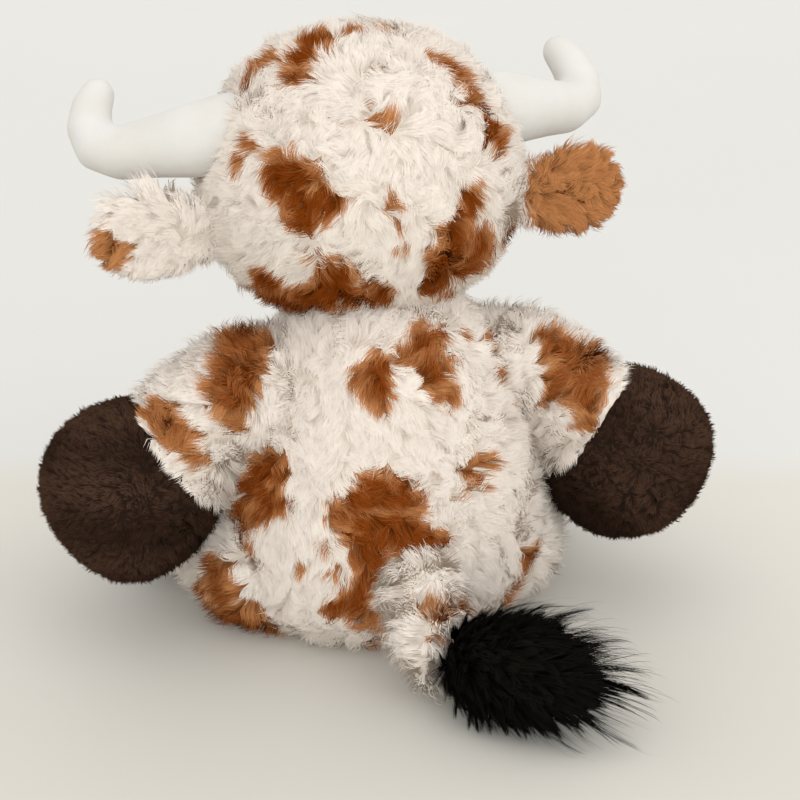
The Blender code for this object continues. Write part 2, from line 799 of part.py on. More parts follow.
def leg_rings(inset, part, grow=0.0):
    """Rings along the leg: its ball, its sleeve or its hoof, standing on the table."""
    splay = math.radians(LEG_SPLAY_DEG)
    way = Vector((math.sin(splay), -math.cos(splay), 0.0))
    across = UP.cross(way)
    hip_height = LEG_ROOT_RADIUS - STAND_CUT
    rows = []
    root = LEG_ROOT_RADIUS + grow - inset
    for degrees in part["root"]:
        polar = math.radians(degrees)
        rows.append((-root * math.cos(polar), root * math.sin(polar), 0.0, 0.0))
    for share in part["sleeve"]:
        radius = LEG_ROOT_RADIUS + (LEG_ANKLE_RADIUS - LEG_ROOT_RADIUS) * share
        sink = radius - LEG_ROOT_RADIUS
        rows.append((LEG_CUFF_RUN * share, radius + grow - inset, sink, 0.0))
    for run, swell in zip(part["hoof"], HOOF_SWELL_SHARES):
        radius = hoof_radius(run, swell, LEG_ANKLE_RADIUS, LEG_HOOF_RADIUS)
        sink = LEG_HOOF_RADIUS - LEG_ROOT_RADIUS
        if run < HOOF_RUN_SHARES[HOOF_SWELL_SHARES.index(1.0)]:
            sink = radius - LEG_ROOT_RADIUS
        place = LEG_CUFF_RUN + SEAM_GAP + (LEG_HOOF_LENGTH + grow - inset) * run
        rows.append((place, radius + grow - inset, sink, run))
    floor = -hip_height
    rings = []
    for place, radius, sink, run in rows:
        points = ring(way * place + UP * sink, across, UP, radius, radius, LIMB_SIDES, cleft(run))
        if not grow and not inset:
            points = [Vector((p.x, p.y, max(p.z, floor))) for p in points]
        rings.append(points)
    return rings


def leg_part(root=(), sleeve=(), hoof=()):
    return {"root": root, "sleeve": sleeve, "hoof": hoof}


def make_leg(side):
    place = mirrored(Vector((HIP_OUT, -HIP_FORWARD, LEG_ROOT_RADIUS - STAND_CUT)), side)
    hinge = empty(f"hip_{side}", place)
    sleeve = leg_part(HIP_RING_DEG, LEG_SLEEVE_SHARES)
    hoof = leg_part(hoof=HOOF_RUN_SHARES)
    whole = leg_part((HIP_OPENING_DEG / 4, *HIP_RING_DEG), LEG_SLEEVE_SHARES, HOOF_RUN_SHARES)
    pieces = (
        tube(
            f"leg_sleeve_{side}",
            sided(leg_rings(0.0, sleeve), side),
            sided(leg_rings(SKIN, sleeve), side),
            "cream_plush",
        ),
        bag(
            f"leg_hoof_{side}",
            sided(leg_rings(0.0, hoof), side),
            sided(leg_rings(SKIN, hoof), side),
            "hoof_plush",
        ),
        solid(
            f"leg_stuffing_{side}", sided(leg_rings(SKIN + SEAM_GAP, whole), side), "stuffing"
        ),
    )
    for piece in pieces:
        piece.parent = hinge
    space = ball(
        f"hip_space_{side}",
        place,
        flats_outside(LEG_ROOT_RADIUS + HIP_GAP, CUTTER_SIDES),
        CUTTER_SIDES,
    )
    reach = leg_part(HIP_RING_DEG[1:], LEG_SLEEVE_SHARES, HOOF_RUN_SHARES)
    for step in range(LEG_LIFT_STEPS + 1):
        swept = solid(
            f"leg_sweep_{side}_{step}", sided(leg_rings(0.0, reach, 2 * SEAM_GAP), side), None
        )
        swept.location = place
        swept.rotation_euler.x = -math.radians(LEG_LIFT_DEG * step / LEG_LIFT_STEPS)
        combine(space, swept, "UNION")
    return space


# Tail


def tail_place():
    """The tail's hinge, far enough out from the back for the tail to swing clear of it."""
    _, half_depth, middle = torso_at(TAIL_ROOT_HEIGHT)
    return Vector((0.0, middle + half_depth + TAIL_ROOT_OUT, TAIL_ROOT_HEIGHT))


def tail_rings(inset, first):
    """Rings of the tail's ball and tube, in the frame of its hinge."""
    side = math.radians(TUFT_SIDE_DEG)
    end_way = Vector((-math.sin(side), math.cos(side), 0.0))
    end = Vector((-TAIL_BEND, TAIL_RUN, TAIL_END_HEIGHT - TAIL_ROOT_HEIGHT))
    start_way = -FACING
    root = TAIL_ROOT_RADIUS - inset
    rows = []
    for degrees in first:
        polar = math.radians(degrees)
        rows.append((start_way * (-root * math.cos(polar)), start_way, root * math.sin(polar)))
    for share in TAIL_RUN_SHARES:
        low = Vector().lerp(start_way * (TAIL_RUN / 2), share)
        high = (end - end_way * (TAIL_RUN / 3)).lerp(end, share)
        radius = TAIL_ROOT_RADIUS + (TAIL_END_RADIUS - TAIL_ROOT_RADIUS) * share
        rows.append(
            (low.lerp(high, share), start_way.lerp(end_way, share).normalized(), radius - inset)
        )
    rings = []
    for centre, way, radius in rows:
        along = (UP - way * way.z).normalized()
        rings.append(ring(centre, along.cross(way), along, radius, radius, LIMB_SIDES))
    return rings, end, end_way


def make_tail():
    place = tail_place()
    hinge = empty("tail_hinge", place)
    open_root = TAIL_RING_DEG[1:]
    outer, end, way = tail_rings(0.0, open_root)
    skin = tube("tail_skin", outer, tail_rings(SKIN, open_root)[0], "cream_plush")
    filling, _, _ = tail_rings(SKIN + SEAM_GAP, TAIL_RING_DEG)
    stuffing = solid("tail_stuffing", filling, "stuffing")
    floor = -place.z
    along = UP
    rings = []
    for run, share in zip(TUFT_RUN_SHARES, TUFT_RADIUS_SHARES):
        centre = end + way * (SEAM_GAP + TUFT_LENGTH * run)
        rise = TUFT_RADIUS - STAND_CUT - TAIL_END_HEIGHT
        centre += UP * rise * min(2 * run, 1.0)
        radius = TUFT_RADIUS * share
        points = ring(centre, along.cross(way), along, radius, radius, LIMB_SIDES)
        rings.append([Vector((p.x, p.y, max(p.z, floor))) for p in points])
    tuft = solid("tail_tuft", rings, "black_hair")
    for piece in (skin, stuffing, tuft):
        piece.parent = hinge
    return ball(
        "tail_space",
        place,
        flats_outside(TAIL_ROOT_RADIUS + SEAM_GAP, CUTTER_SIDES),
        CUTTER_SIDES,
    )


def main():
    clear_scene()
    spaces = [make_tail()]
    for side in SIDE_SHARES:
        spaces.append(make_arm(side))
        spaces.append(make_leg(side))
    make_torso(spaces)
    make_neck_seam()
    head = empty("head_frame", DOME_CENTRE)
    head.rotation_euler.y = math.radians(HEAD_LEAN_DEG)
    neck_space = ball(
        "neck_space",
        DOME_CENTRE,
        flats_outside(DOME_RADIUS + NECK_CLEARANCE, 2 * HEAD_SIDES),
        2 * HEAD_SIDES,
    )
    make_head(head, neck_space)


main()
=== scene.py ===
"""Looks of a seated plush cow with mottled long pile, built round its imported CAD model."""

import math

import bmesh
import bpy
import numpy as np
from bpy.props import FloatProperty, FloatVectorProperty, PointerProperty
from bpy.types import Operator, Panel, PropertyGroup
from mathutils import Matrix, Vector
from mathutils.bvhtree import BVHTree
from mathutils.kdtree import KDTree


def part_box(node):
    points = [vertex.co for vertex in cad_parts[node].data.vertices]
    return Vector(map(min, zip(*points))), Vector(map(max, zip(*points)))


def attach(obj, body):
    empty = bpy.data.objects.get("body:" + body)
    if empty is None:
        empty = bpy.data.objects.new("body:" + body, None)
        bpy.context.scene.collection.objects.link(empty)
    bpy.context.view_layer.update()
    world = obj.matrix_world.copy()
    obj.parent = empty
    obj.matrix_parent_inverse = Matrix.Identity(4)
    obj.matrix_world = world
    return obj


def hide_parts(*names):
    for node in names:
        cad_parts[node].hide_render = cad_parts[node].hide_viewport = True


bl_info = {
    "name": "Plush cow",
    "version": (1, 0, 0),
    "blender": (4, 5, 0),
    "location": "View3D > Sidebar > Plush cow",
    "description": "Builds the pile, hooves, horns and face of a seated plush cow",
    "category": "Object",
}

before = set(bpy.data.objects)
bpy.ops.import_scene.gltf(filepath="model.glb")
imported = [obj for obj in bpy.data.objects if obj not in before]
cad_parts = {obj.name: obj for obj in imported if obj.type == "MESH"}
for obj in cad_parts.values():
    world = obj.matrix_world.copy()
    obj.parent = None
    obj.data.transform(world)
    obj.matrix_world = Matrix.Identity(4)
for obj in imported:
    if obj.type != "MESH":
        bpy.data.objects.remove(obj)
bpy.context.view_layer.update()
MM = 0.001
# Nothing goes below this height, just off the table
LOWEST = 0.0004
# How far the pile looks for the parts beside it
REACH = 0.012
# The locks that cast shadows; the rest let light through, as thin fibres do
CASTING_SHARE = 0.15
# How much of its length the pile keeps at an ear's tip
EAR_TIP_TRIM = {"left": 0.9, "right": 0.5}
# How much longer the pile is at an ear's top than at its middle, and shorter at its foot
EAR_TOP_TRIM = {"left": 0.75, "right": 0.2}
# Parts that a part's own pile may run into, because it hides the seam between them
OVERGROWN = {
    "torso": ("leg_left", "leg_right", "arm_left", "arm_right"),
    "head": ("torso",), "tail": ("tuft", "torso"),
    "ear_left": ("head",), "ear_right": ("head",),
    "arm_left": ("torso",), "arm_right": ("torso",),
    "leg_left": ("torso",), "leg_right": ("torso",),
}
# Stations of a lock of pile and of a hair, and the most of them in one piece,
# which keeps it under 200,000 triangles
LOCK_STATIONS, HAIR_STATIONS = 3, 6
MOST_LOCKS = {LOCK_STATIONS: 66000, HAIR_STATIONS: 22000}
# How far a form stands off its solids, and how deep in another part its points count as inside
FORM_OUT = 0.0004
INSIDE = 0.0004
# Locks with less room than this are left out, as are those under the seat below this height
LEAST_ROOM = 0.0006
SEAT_HEIGHT = 0.002
# The room, as a share of its length, that a lock needs to stand at full length
FULL_ROOM = 0.55
# How much of its height a wild lock gains
WILD_RISE = 1.7
# Spots of a patch: growth, margin, width of the edge, and edges from the rim to full depth
SPOT_GROWTH, SPOT_MARGIN, SPOT_EDGE, SPOT_DEPTH = 1.2, 0.0012, 0.0013, 3.3
HOOF_LOCK_WIDTH = 0.00042
FACE_LOCK_WIDTH = 0.0004
# The pile is short this far round an eye, and longer below this height, over the neck
EYE_CLEARING = 0.015
NECK_HEIGHT, NECK_FADE, NECK_EXTRA = 0.188, 0.02, 0.85
# Tuft: how far its core lies inside the solid, and its hairs, clumps and half width of a hair
CORE_DEPTH = 0.007
HAIRS, HAIR_CLUMPS, HAIR_HALF_WIDTH = 44000, 900, 0.00017
SIDES = {"left": 1.0, "right": -1.0}

# Lights: name, place, size, power
LIGHTS = (
    ("overhead", (-0.2, 0.3, 1.6), 1.6, 1.0),
    ("window", (-0.7, 1.2, 0.95), 1.2, 4.0),
    ("bounce", (0.45, 1.5, 0.3), 1.4, 9.0),
)
SKY_COLOUR, SKY_STRENGTH = (1.0, 0.985, 0.965, 1.0), 1.12

# Camera, fitted to the photograph's frame of 800 by 800
CAMERA_AZIMUTH = 165.0
CAMERA_ELEVATION = 20.0
CAMERA_DISTANCE = 0.78
CAMERA_TARGET = Vector((0.0, 0.0, 0.107))
FRAME_PIXELS = 800.0
FOCAL_PIXELS = 1660.0
TARGET_LEFT_PIXELS = 16.0
SENSOR_MM = 36.0

# Smooth forms over the CAD solids: nodes, body, voxel in mm, smoothing passes
FORMS = {
    "torso": (("torso_skin", "torso_stuffing", "pellet_bag"), "torso", 2.4, 8),
    "head": (("head_skin", "head_stuffing"), "head", 2.4, 8),
    "muzzle": (("muzzle_skin", "muzzle_stuffing"), "head", 1.6, 6),
    "tail": (("tail_skin", "tail_stuffing"), "tail", 1.6, 6),
    "tuft": (("tail_tuft",), "tail", 2.4, 8),
}
for side in SIDES:
    FORMS[f"arm_{side}"] = (
        (f"arm_sleeve_{side}", f"arm_hoof_{side}", f"arm_stuffing_{side}"),
        f"arm_{side}",
        2.0,
        6,
    )
    FORMS[f"leg_{side}"] = (
        (f"leg_sleeve_{side}", f"leg_hoof_{side}", f"leg_stuffing_{side}"),
        f"leg_{side}",
        2.0,
        6,
    )
    FORMS[f"ear_{side}"] = ((f"ear_back_{side}", f"ear_lining_{side}"), f"ear_{side}", 1.4, 5)
    FORMS[f"horn_{side}"] = ((f"horn_{side}", f"horn_stuffing_{side}"), "head", 1.2, 45)

# Brown patches in mm, each a run of round spots that melt together: x, y, z, radius
PATCHES = {
    "head": {
        "crown left": (
            (26, -10, 270, 8), (37, -2, 264, 7), (42, 7, 258, 5.2), (48, -17, 261, 4.5),
            (55, -11, 256, 3.6), (12, -11, 273, 3.1), (-1, -10, 273, 2.3),
        ),
        "crown notch": ((14, 30, 248, 1.7), (11, 33, 244, 2.6), (6, 31, 247, 2.1)),
        "middle": (
            (53, 22, 227, 5.1), (49, 27, 222, 9.4), (43, 31, 215, 10.2), (38, 35, 211, 6.8),
            (45, 31, 208, 6.8), (31, 37, 212, 3.4),
        ),
        "middle hook": (
            (62, 5, 236, 1.7), (62, 9, 231, 2.6), (60, 13, 230, 2.2), (66, 9, 224, 2.2),
            (67, 8, 219, 1.7),
        ),
        "nape": (
            (54, 8, 175, 7), (52, -7, 165, 7), (45, 3, 164, 8), (38, 14, 168, 10),
            (29, 24, 173, 10.5), (26, 30, 181, 6.5), (31, 32, 186, 4), (19, 24, 171, 8.5),
            (12, 28, 172, 6),
        ),
        "nape streak": ((44, 27, 189, 1.3), (41, 28, 186, 1.3)),
        "thin streak": ((8, 42, 211, 2.1), (7, 43, 208, 1.7), (5, 42, 200, 1.3), (4, 40, 191, 1.3)),
        "crown right": (
            (-20, 7, 263, 3.1), (-25, 10, 260, 4), (-30, 11, 256, 4.9), (-34, 15, 250, 4.4),
            (-36, 18, 245, 4.4), (-39, 19, 239, 4.4), (-42, 21, 233, 5.3), (-48, 17, 229, 3.1),
        ),
        "lower right": (
            (-32, 33, 213, 2.2), (-26, 36, 210, 3.9), (-27, 35, 206, 5.2), (-22, 36, 200, 5.2),
            (-19, 36, 193, 7.8), (-32, 28, 188, 7.1), (-16, 34, 185, 8.8), (-30, 24, 179, 8.9),
            (-15, 28, 173, 7.1), (-41, 18, 182, 3.2), (-23, 14, 164, 3.6),
        ),
        "right edge": ((-52, 9, 186, 4.1), (-52, 3, 178, 1.8), (-45, 10, 173, 2.7)),
        "front, guessed": (
            (-34, -66, 232, 9), (-42, -58, 222, 8), (10, -50, 262, 8), (20, -48, 260, 6),
            (64, -30, 215, 8), (66, -22, 206, 7), (-60, -30, 200, 8), (-54, -38, 190, 7),
            (46, -64, 184, 7), (40, -66, 178, 6),
        ),
    },
    "torso": {
        "upper middle": (
            (14, 41, 134, 6.1), (14, 44, 127, 6.5), (14, 47, 122, 3.9), (22, 40, 131, 3.5),
        ),
        "upper right": (
            (-8, 35, 145, 5.7), (0, 39, 142, 5.7), (-17, 33, 145, 3.6), (-8, 40, 138, 6.2),
            (-12, 43, 131, 5.3), (-15, 46, 123, 4.9), (-16, 41, 135, 2.7),
        ),
        "shoulder strip": (
            (-29, 27, 142, 1.8), (-39, 18, 139, 1.8), (-44, 15, 134, 2.3), (-47, 16, 127, 2.3),
            (-45, 23, 122, 2.8), (-53, 23, 107, 1.9), (-59, 19, 96, 1.4),
        ),
        "right small": (
            (-29, 48, 89, 4.5), (-35, 45, 91, 4.1), (-24, 50, 89, 3.1), (-26, 50, 81, 2.7),
            (-34, 47, 79, 1.8),
        ),
        "left patch": (
            (59, 22, 91, 6.3), (53, 29, 93, 3.6), (62, 21, 83, 7.3), (57, 27, 85, 6.3),
            (66, 17, 74, 7.3), (60, 28, 75, 8.1), (55, 34, 73, 4), (69, 16, 61, 7.4),
            (71, 14, 52, 6), (63, 25, 67, 5.5), (66, 24, 50, 2.3),
        ),
        "saddle": (
            (17, 52, 86, 7.1), (8, 54, 83, 6.2), (20, 52, 78, 8.8), (10, 54, 74, 10.6),
            (31, 49, 74, 5.3), (35, 48, 72, 3.1), (18, 54, 66, 10.7), (6, 56, 62, 8),
            (-2, 56, 61, 6.3), (-9, 55, 59, 5.4), (-14, 55, 57, 3.2), (20, 55, 54, 8.1),
            (21, 54, 44, 6.3), (25, 53, 37, 4.5), (29, 51, 32, 6.4), (35, 48, 28, 4.6),
            (24, 50, 24, 5.5), (18, 51, 18, 2.8), (15, 44, 8, 2.3),
        ),
        "saddle bits": ((38, 47, 58, 2.2), (49, 42, 46, 1.8), (36, 49, 46, 2.7)),
        "right low": (
            (-60, 31, 37, 3.8), (-57, 34, 31, 4.3), (-55, 33, 26, 3.8), (-51, 34, 21, 3.4),
            (-50, 33, 16, 2.4),
        ),
        "front, guessed": (
            (26, -52, 84, 9), (20, -54, 76, 9), (30, -50, 70, 7), (-24, -54, 62, 8),
            (-30, -50, 54, 7), (-20, -46, 112, 7), (-28, -44, 106, 6), (-70, -18, 84, 7),
            (-72, -12, 76, 6), (68, -26, 62, 7), (4, -56, 44, 5),
        ),
    },
    "tail": {
        "tail": (
            (2, 87, 40, 3.1), (0, 89, 37, 2.6), (-11, 84, 37, 3.5), (-12, 81, 30, 2.7),
            (4, 98, 31, 1.7),
        ),
    },
    "arm_left": {
        "shoulder band": (
            (67, -4, 139, 8.2), (70, 7, 134, 9.9), (74, 13, 128, 9.8), (78, 18, 119, 8),
            (72, 17, 123, 7.1), (84, 13, 124, 3.6), (58, 0, 138, 3.6),
        ),
        "sleeve low": (
            (106, 5, 111, 4.5), (103, 13, 109, 5.4), (98, 18, 106, 4.5), (95, 20, 98, 3.1),
            (111, 1, 109, 2.7),
        ),
        "front, guessed": ((92, -26, 116, 6), (98, -24, 110, 5)),
    },
    "arm_right": {
        "sleeve": (
            (-77, 9, 132, 5.7), (-80, 14, 128, 7.5), (-86, 17, 123, 8.5), (-96, 18, 119, 6.6),
            (-79, 21, 117, 6.5), (-89, 24, 113, 7.5), (-91, 26, 108, 5.6), (-89, 29, 100, 4.7),
            (-75, 22, 111, 3.7), (-100, 7, 121, 3.9),
        ),
        "front, guessed": ((-84, -20, 128, 6), (-78, -24, 120, 5)),
    },
    "leg_left": {
        "sleeve": (
            (81, 5, 34, 4.5), (79, 9, 28, 8), (77, -4, 10, 9), (70, 12, 10, 9.5),
            (63, 11, 7, 7), (83, -6, 18, 6),
        ),
        "front, guessed": ((60, -40, 54, 5),),
    },
    "leg_right": {"front, guessed": ((-62, -34, 52, 7), (-80, -20, 34, 6))},
    "ear_left": {"tip": ((125, -11, 186, 7),)},
    "ear_right": {"leaf": ((-92, -11, 201, 18), (-106, -11, 198, 20), (-113, -11, 196, 16))},
}


def length_property(name, description, value, least):
    return FloatProperty(
        name=name, description=description, default=value, min=least,
        subtype="DISTANCE", unit="LENGTH",
    )


class PlushSizes(PropertyGroup):
    """Lengths of the pile and the hair."""

    pile_length: length_property("Pile length", "Long pile on the body and the head", 0.0105, 0.002)
    pile_width: length_property(
        "Pile lock width", "Width of one lock of the long pile at its root", 0.00036, 0.0001
    )
    clump: length_property(
        "Clump spacing", "Distance between the tufts that the pile gathers in", 0.0065, 0.001
    )
    ear_pile: length_property("Ear pile length", "Long pile on the back of the ears", 0.0095, 0.002)
    hoof_pile: length_property("Hoof pile length", "Short dense pile on the hooves", 0.0042, 0.001)
    face_pile: length_property(
        "Face pile length", "Short pile on the muzzle and in the ears", 0.0028, 0.001
    )
    tuft_hair: length_property("Tuft hair length", "Long hair at the end of the tail", 0.042, 0.01)


def colour_property(name, description, value):
    return FloatVectorProperty(
        name=name, description=description, default=value, size=3, min=0.0, max=1.0,
        subtype="COLOR",
    )


class PlushColours(PropertyGroup):
    """Colours of the cloths, the hair and the stage."""

    cream: colour_property("Cream pile", "Light pile of the body", (0.79, 0.726, 0.66))
    brown: colour_property("Brown pile", "Core of the brown patches", (0.197, 0.041, 0.0035))
    tan: colour_property("Tan pile", "Edges of the brown patches", (0.56, 0.25, 0.097))
    hoof: colour_property("Hoof pile", "Short dark pile of the hooves", (0.0225, 0.0125, 0.008))
    # Painted sheen of the hoof pile, mixed in towards the lock tips.
    hoof_sheen: colour_property("Hoof sheen", "Hoof pile brushed to light", (0.105, 0.056, 0.036))
    hair: colour_property("Tuft hair", "Long hair at the tail's end", (0.004, 0.0036, 0.003))
    horn: colour_property("Horn velour", "Smooth cloth of the horns", (0.66, 0.655, 0.63))
    muzzle: colour_property("Muzzle pile", "Short pile of the muzzle", (0.62, 0.44, 0.35))
    thread: colour_property("Thread", "Stitching", (0.032, 0.018, 0.012))
    eye: colour_property("Eye", "Glossy eye plastic", (0.008, 0.005, 0.004))
    wadding: colour_property("Wadding", "Polyester filling", (0.85, 0.85, 0.85))
    table: colour_property("Table", "Pale table top", (0.6, 0.583, 0.535))
    backdrop: colour_property("Backdrop", "Paler ground past the table", (0.665, 0.663, 0.637))


def sizes():
    return bpy.context.scene.plush_sizes


def colours():
    return bpy.context.scene.plush_colours


class Wire:
    """A shader socket that takes part in Python expressions."""

    def __init__(self, finish, socket):
        self.finish = finish
        self.socket = socket

    def math(self, operation, first, second):
        return self.finish.add("ShaderNodeMath", {"operation": operation}, {0: first, 1: second})

    def __add__(self, other):
        return self.math("ADD", self, other)

    __radd__ = __add__

    def __sub__(self, other):
        return self.math("SUBTRACT", self, other)

    def __rsub__(self, other):
        return self.math("SUBTRACT", other, self)

    def __mul__(self, other):
        return self.math("MULTIPLY", self, other)

    __rmul__ = __mul__


class Finish:
    """A material whose nodes are made by expressions; constants go on its sockets."""

    def __init__(self, name, **constants):
        self.material = bpy.data.materials.new(name)
        self.material.use_nodes = True
        self.tree = self.material.node_tree
        self.shader = self.tree.nodes["Principled BSDF"]
        for socket, value in constants.items():
            self.shader.inputs[socket.replace("_", " ")].default_value = value

    def add(self, kind, settings=None, inputs=None, output=0):
        node = self.tree.nodes.new(kind)
        for key, value in (settings or {}).items():
            if key == "stops":
                self.set_stops(node.color_ramp, value)
            else:
                setattr(node, key, value)
        for key, value in (inputs or {}).items():
            self.feed(node.inputs[key], value)
        return Wire(self, node.outputs[output])

    def set_stops(self, ramp, stops):
        while len(ramp.elements) < len(stops):
            ramp.elements.new(0.5)
        for element, (place, colour) in zip(ramp.elements, stops):
            element.position = place
            element.color = (*colour, 1.0)

    def feed(self, socket, value):
        if isinstance(value, Wire):
            self.tree.links.new(value.socket, socket)
        elif hasattr(value, "__len__") and socket.type == "RGBA":
            socket.default_value = (*value, 1.0)
        else:
            socket.default_value = value

    def mix(self, share, first, second, blend="MIX"):
        return self.add(
            "ShaderNodeMix",
            {"data_type": "RGBA", "blend_type": blend},
            {0: share, 6: first, 7: second},
            output=2,
        )

    def scaled(self, colour, amount):
        return self.add(
            "ShaderNodeVectorMath", {"operation": "SCALE"}, {0: colour, "Scale": amount}
        )

    def place(self):
        return self.add("ShaderNodeTexCoord", output="Object")

    def noise(self, scale, detail=3.0, vector=None, roughness=0.5):
        return self.add(
            "ShaderNodeTexNoise",
            {},
            {
                "Vector": vector or self.place(),
                "Scale": scale,
                "Detail": detail,
                "Roughness": roughness,
            },
        )

    def spread(self, value, low, high):
        """The value's stretch from low to high, spread over 0 to 1."""
        return self.add(
            "ShaderNodeMapRange", {}, {"Value": value, "From Min": low, "From Max": high}
        )

    def pile_values(self):
        """Brown share, depth in the patch, place along the lock and the lock's own tint."""
        node = self.add("ShaderNodeAttribute", {"attribute_name": "pile"}).socket.node
        parts = self.add(
            "ShaderNodeSeparateColor", {}, {0: Wire(self, node.outputs["Color"])}
        ).socket.node
        values = [Wire(self, output) for output in parts.outputs]
        return (*values, Wire(self, node.outputs["Alpha"]))

    def bump(self, height, strength, distance):
        return self.add(
            "ShaderNodeBump",
            {},
            {"Strength": strength, "Distance": distance, "Height": height},
        )

    def set(self, **links):
        for socket, value in links.items():
            self.feed(self.shader.inputs[socket.replace("_", " ")], value)
        return self.material


def kept(maker):
    """Makes each material once, under a name that no CAD material has."""

    def found():
        name = f"{maker.__name__}_look"
        return bpy.data.materials.get(name) or maker(name)

    return found


def mottled(finish, shade):
    """Cream and brown by the pile's values, with painted shade at the roots: darker and warmer
    there.
    """
    brown_share, depth, along, tint = finish.pile_values()
    own = colours()
    # Painted shade: the brown is darker towards each lock's root.
    brown = finish.scaled(finish.mix(depth, own.tan, own.brown), 0.62 + along * 0.38)
    cloth = finish.mix(brown_share, own.cream, brown)
    # Painted shade at the roots, warmer than the cloth, by the shade factor.
    root = finish.mix(1.0, cloth, (shade, shade * 0.955, shade * 0.9), "MULTIPLY")
    return finish.scaled(finish.mix(along, root, cloth), 0.95 + tint * 0.1)


@kept
def mottled_pile(name):
    finish = Finish(name, Roughness=0.9, Specular_IOR_Level=0.0)
    # Painted shade at the roots of the locks.
    return finish.set(Base_Color=mottled(finish, 0.88))


@kept
def mottled_cloth(name):
    finish = Finish(name, Roughness=0.95, Specular_IOR_Level=0.0)
    knit = finish.noise(2600.0, 2.0)
    # The cloth under the pile takes the full painted root shade.
    return finish.set(
        Base_Color=mottled(finish, 0.86), Normal=finish.bump(knit, 0.4, 0.0004)
    )


@kept
def hoof_pile(name):
    finish = Finish(name, Roughness=0.85, Specular_IOR_Level=0.0)
    _, painted_sheen_share, along, tint = finish.pile_values()
    own = colours()
    # Painted sheen towards the tips, and painted shade at the roots.
    pile = finish.mix((painted_sheen_share * 0.7 + tint * 0.3) * along, own.hoof, own.hoof_sheen)
    return finish.set(Base_Color=finish.scaled(pile, 0.7 + along * 0.35))


@kept
def hoof_cloth(name):
    finish = Finish(name, Roughness=0.95, Specular_IOR_Level=0.1)
    knit = finish.noise(2200.0, 3.0)
    dark = finish.mix(knit, (0.012, 0.006, 0.0035), colours().hoof)
    return finish.set(Base_Color=dark, Normal=finish.bump(knit, 0.5, 0.0005))


@kept
def black_hair(name):
    finish = Finish(name, Roughness=0.6, Specular_IOR_Level=0.0)
    _, _, along, tint = finish.pile_values()
    hair = finish.mix(tint, colours().hair, (0.0105, 0.009, 0.0075))
    # Painted shade at the roots, lighter towards the tips.
    return finish.set(Base_Color=finish.scaled(hair, 0.6 + along * 0.6))


@kept
def hair_base(name):
    finish = Finish(name, Roughness=0.8, Specular_IOR_Level=0.0)
    strand = finish.noise(900.0, 4.0)
    return finish.set(
        Base_Color=finish.mix(strand, (0.001, 0.001, 0.001), colours().hair),
        Normal=finish.bump(strand, 0.6, 0.0008),
    )


@kept
def horn_velour(name):
    finish = Finish(name, Roughness=0.9, Specular_IOR_Level=0.1, Sheen_Weight=0.06)
    nap = finish.noise(3200.0, 2.0)
    brushed = finish.noise(60.0, 4.0)
    soil = finish.spread(brushed, 0.35, 0.7)
    red, green, blue = colours().horn
    cloth = finish.mix(soil, (red, green, blue), (red * 0.96, green * 0.945, blue * 0.92))
    height = nap * 0.6 + brushed * 0.4
    return finish.set(
        Base_Color=finish.scaled(cloth, 0.93 + nap * 0.12),
        Normal=finish.bump(height, 0.35, 0.0005),
    )


@kept
def face_pile(name):
    finish = Finish(name, Roughness=0.9, Specular_IOR_Level=0.15)
    _, _, along, tint = finish.pile_values()
    # Painted shade at the roots of the locks.
    cloth = finish.scaled(colours().muzzle, (0.7 + along * 0.3) * (0.9 + tint * 0.18))
    return finish.set(Base_Color=cloth)


@kept
def face_cloth(name):
    finish = Finish(name, Roughness=0.95, Specular_IOR_Level=0.15)
    knit = finish.noise(2400.0, 3.0)
    return finish.set(
        Base_Color=finish.scaled(colours().muzzle, 0.6 + knit * 0.3),
        Normal=finish.bump(knit, 0.5, 0.0004),
    )


@kept
def stitch_thread(name):
    finish = Finish(name, Roughness=0.75, Specular_IOR_Level=0.1, Sheen_Weight=0.05)
    twist = finish.add(
        "ShaderNodeTexWave",
        {"bands_direction": "DIAGONAL"},
        {"Vector": finish.place(), "Scale": 420.0, "Distortion": 1.5},
        output="Fac",
    )
    own = colours().thread
    pale = (own[0] * 1.8, own[1] * 1.8, own[2] * 1.8)
    return finish.set(
        Base_Color=finish.mix(twist, own, pale), Normal=finish.bump(twist, 0.6, 0.0003)
    )


@kept
def eye_plastic(name):
    finish = Finish(name, Specular_IOR_Level=0.25, Coat_Roughness=0.03)
    smear = finish.noise(140.0, 4.0)
    return finish.set(
        Base_Color=finish.mix(smear, colours().eye, (0.018, 0.010, 0.007)),
        Roughness=0.06 + smear * 0.1,
        Coat_Weight=0.25,
    )


@kept
def washer_plastic(name):
    finish = Finish(name, Specular_IOR_Level=0.4)
    grain = finish.noise(900.0, 3.0)
    return finish.set(
        Base_Color=finish.mix(grain, (0.74, 0.74, 0.73), (0.83, 0.83, 0.82)),
        Roughness=0.35 + grain * 0.2,
        Normal=finish.bump(grain, 0.2, 0.0002),
    )


@kept
def wadding(name):
    finish = Finish(name, Roughness=1.0, Specular_IOR_Level=0.1, Sheen_Weight=0.2)
    fibre = finish.noise(420.0, 6.0, roughness=0.7)
    loft = finish.noise(70.0, 3.0)
    return finish.set(
        Base_Color=finish.scaled(colours().wadding, 0.82 + fibre * 0.25),
        Normal=finish.bump(fibre * 0.5 + loft, 0.8, 0.001),
    )


@kept
def pellet_cloth(name):
    finish = Finish(name, Roughness=0.9, Specular_IOR_Level=0.2)
    beads = finish.add(
        "ShaderNodeTexVoronoi", {"feature": "SMOOTH_F1"}, {"Vector": finish.place(), "Scale": 300.0}
    )
    weave = finish.noise(1800.0, 2.0)
    return finish.set(
        Base_Color=finish.mix(weave, (0.5, 0.5, 0.47), (0.6, 0.6, 0.57)),
        Normal=finish.bump(weave * 0.2 - beads, 0.7, 0.0015),
    )


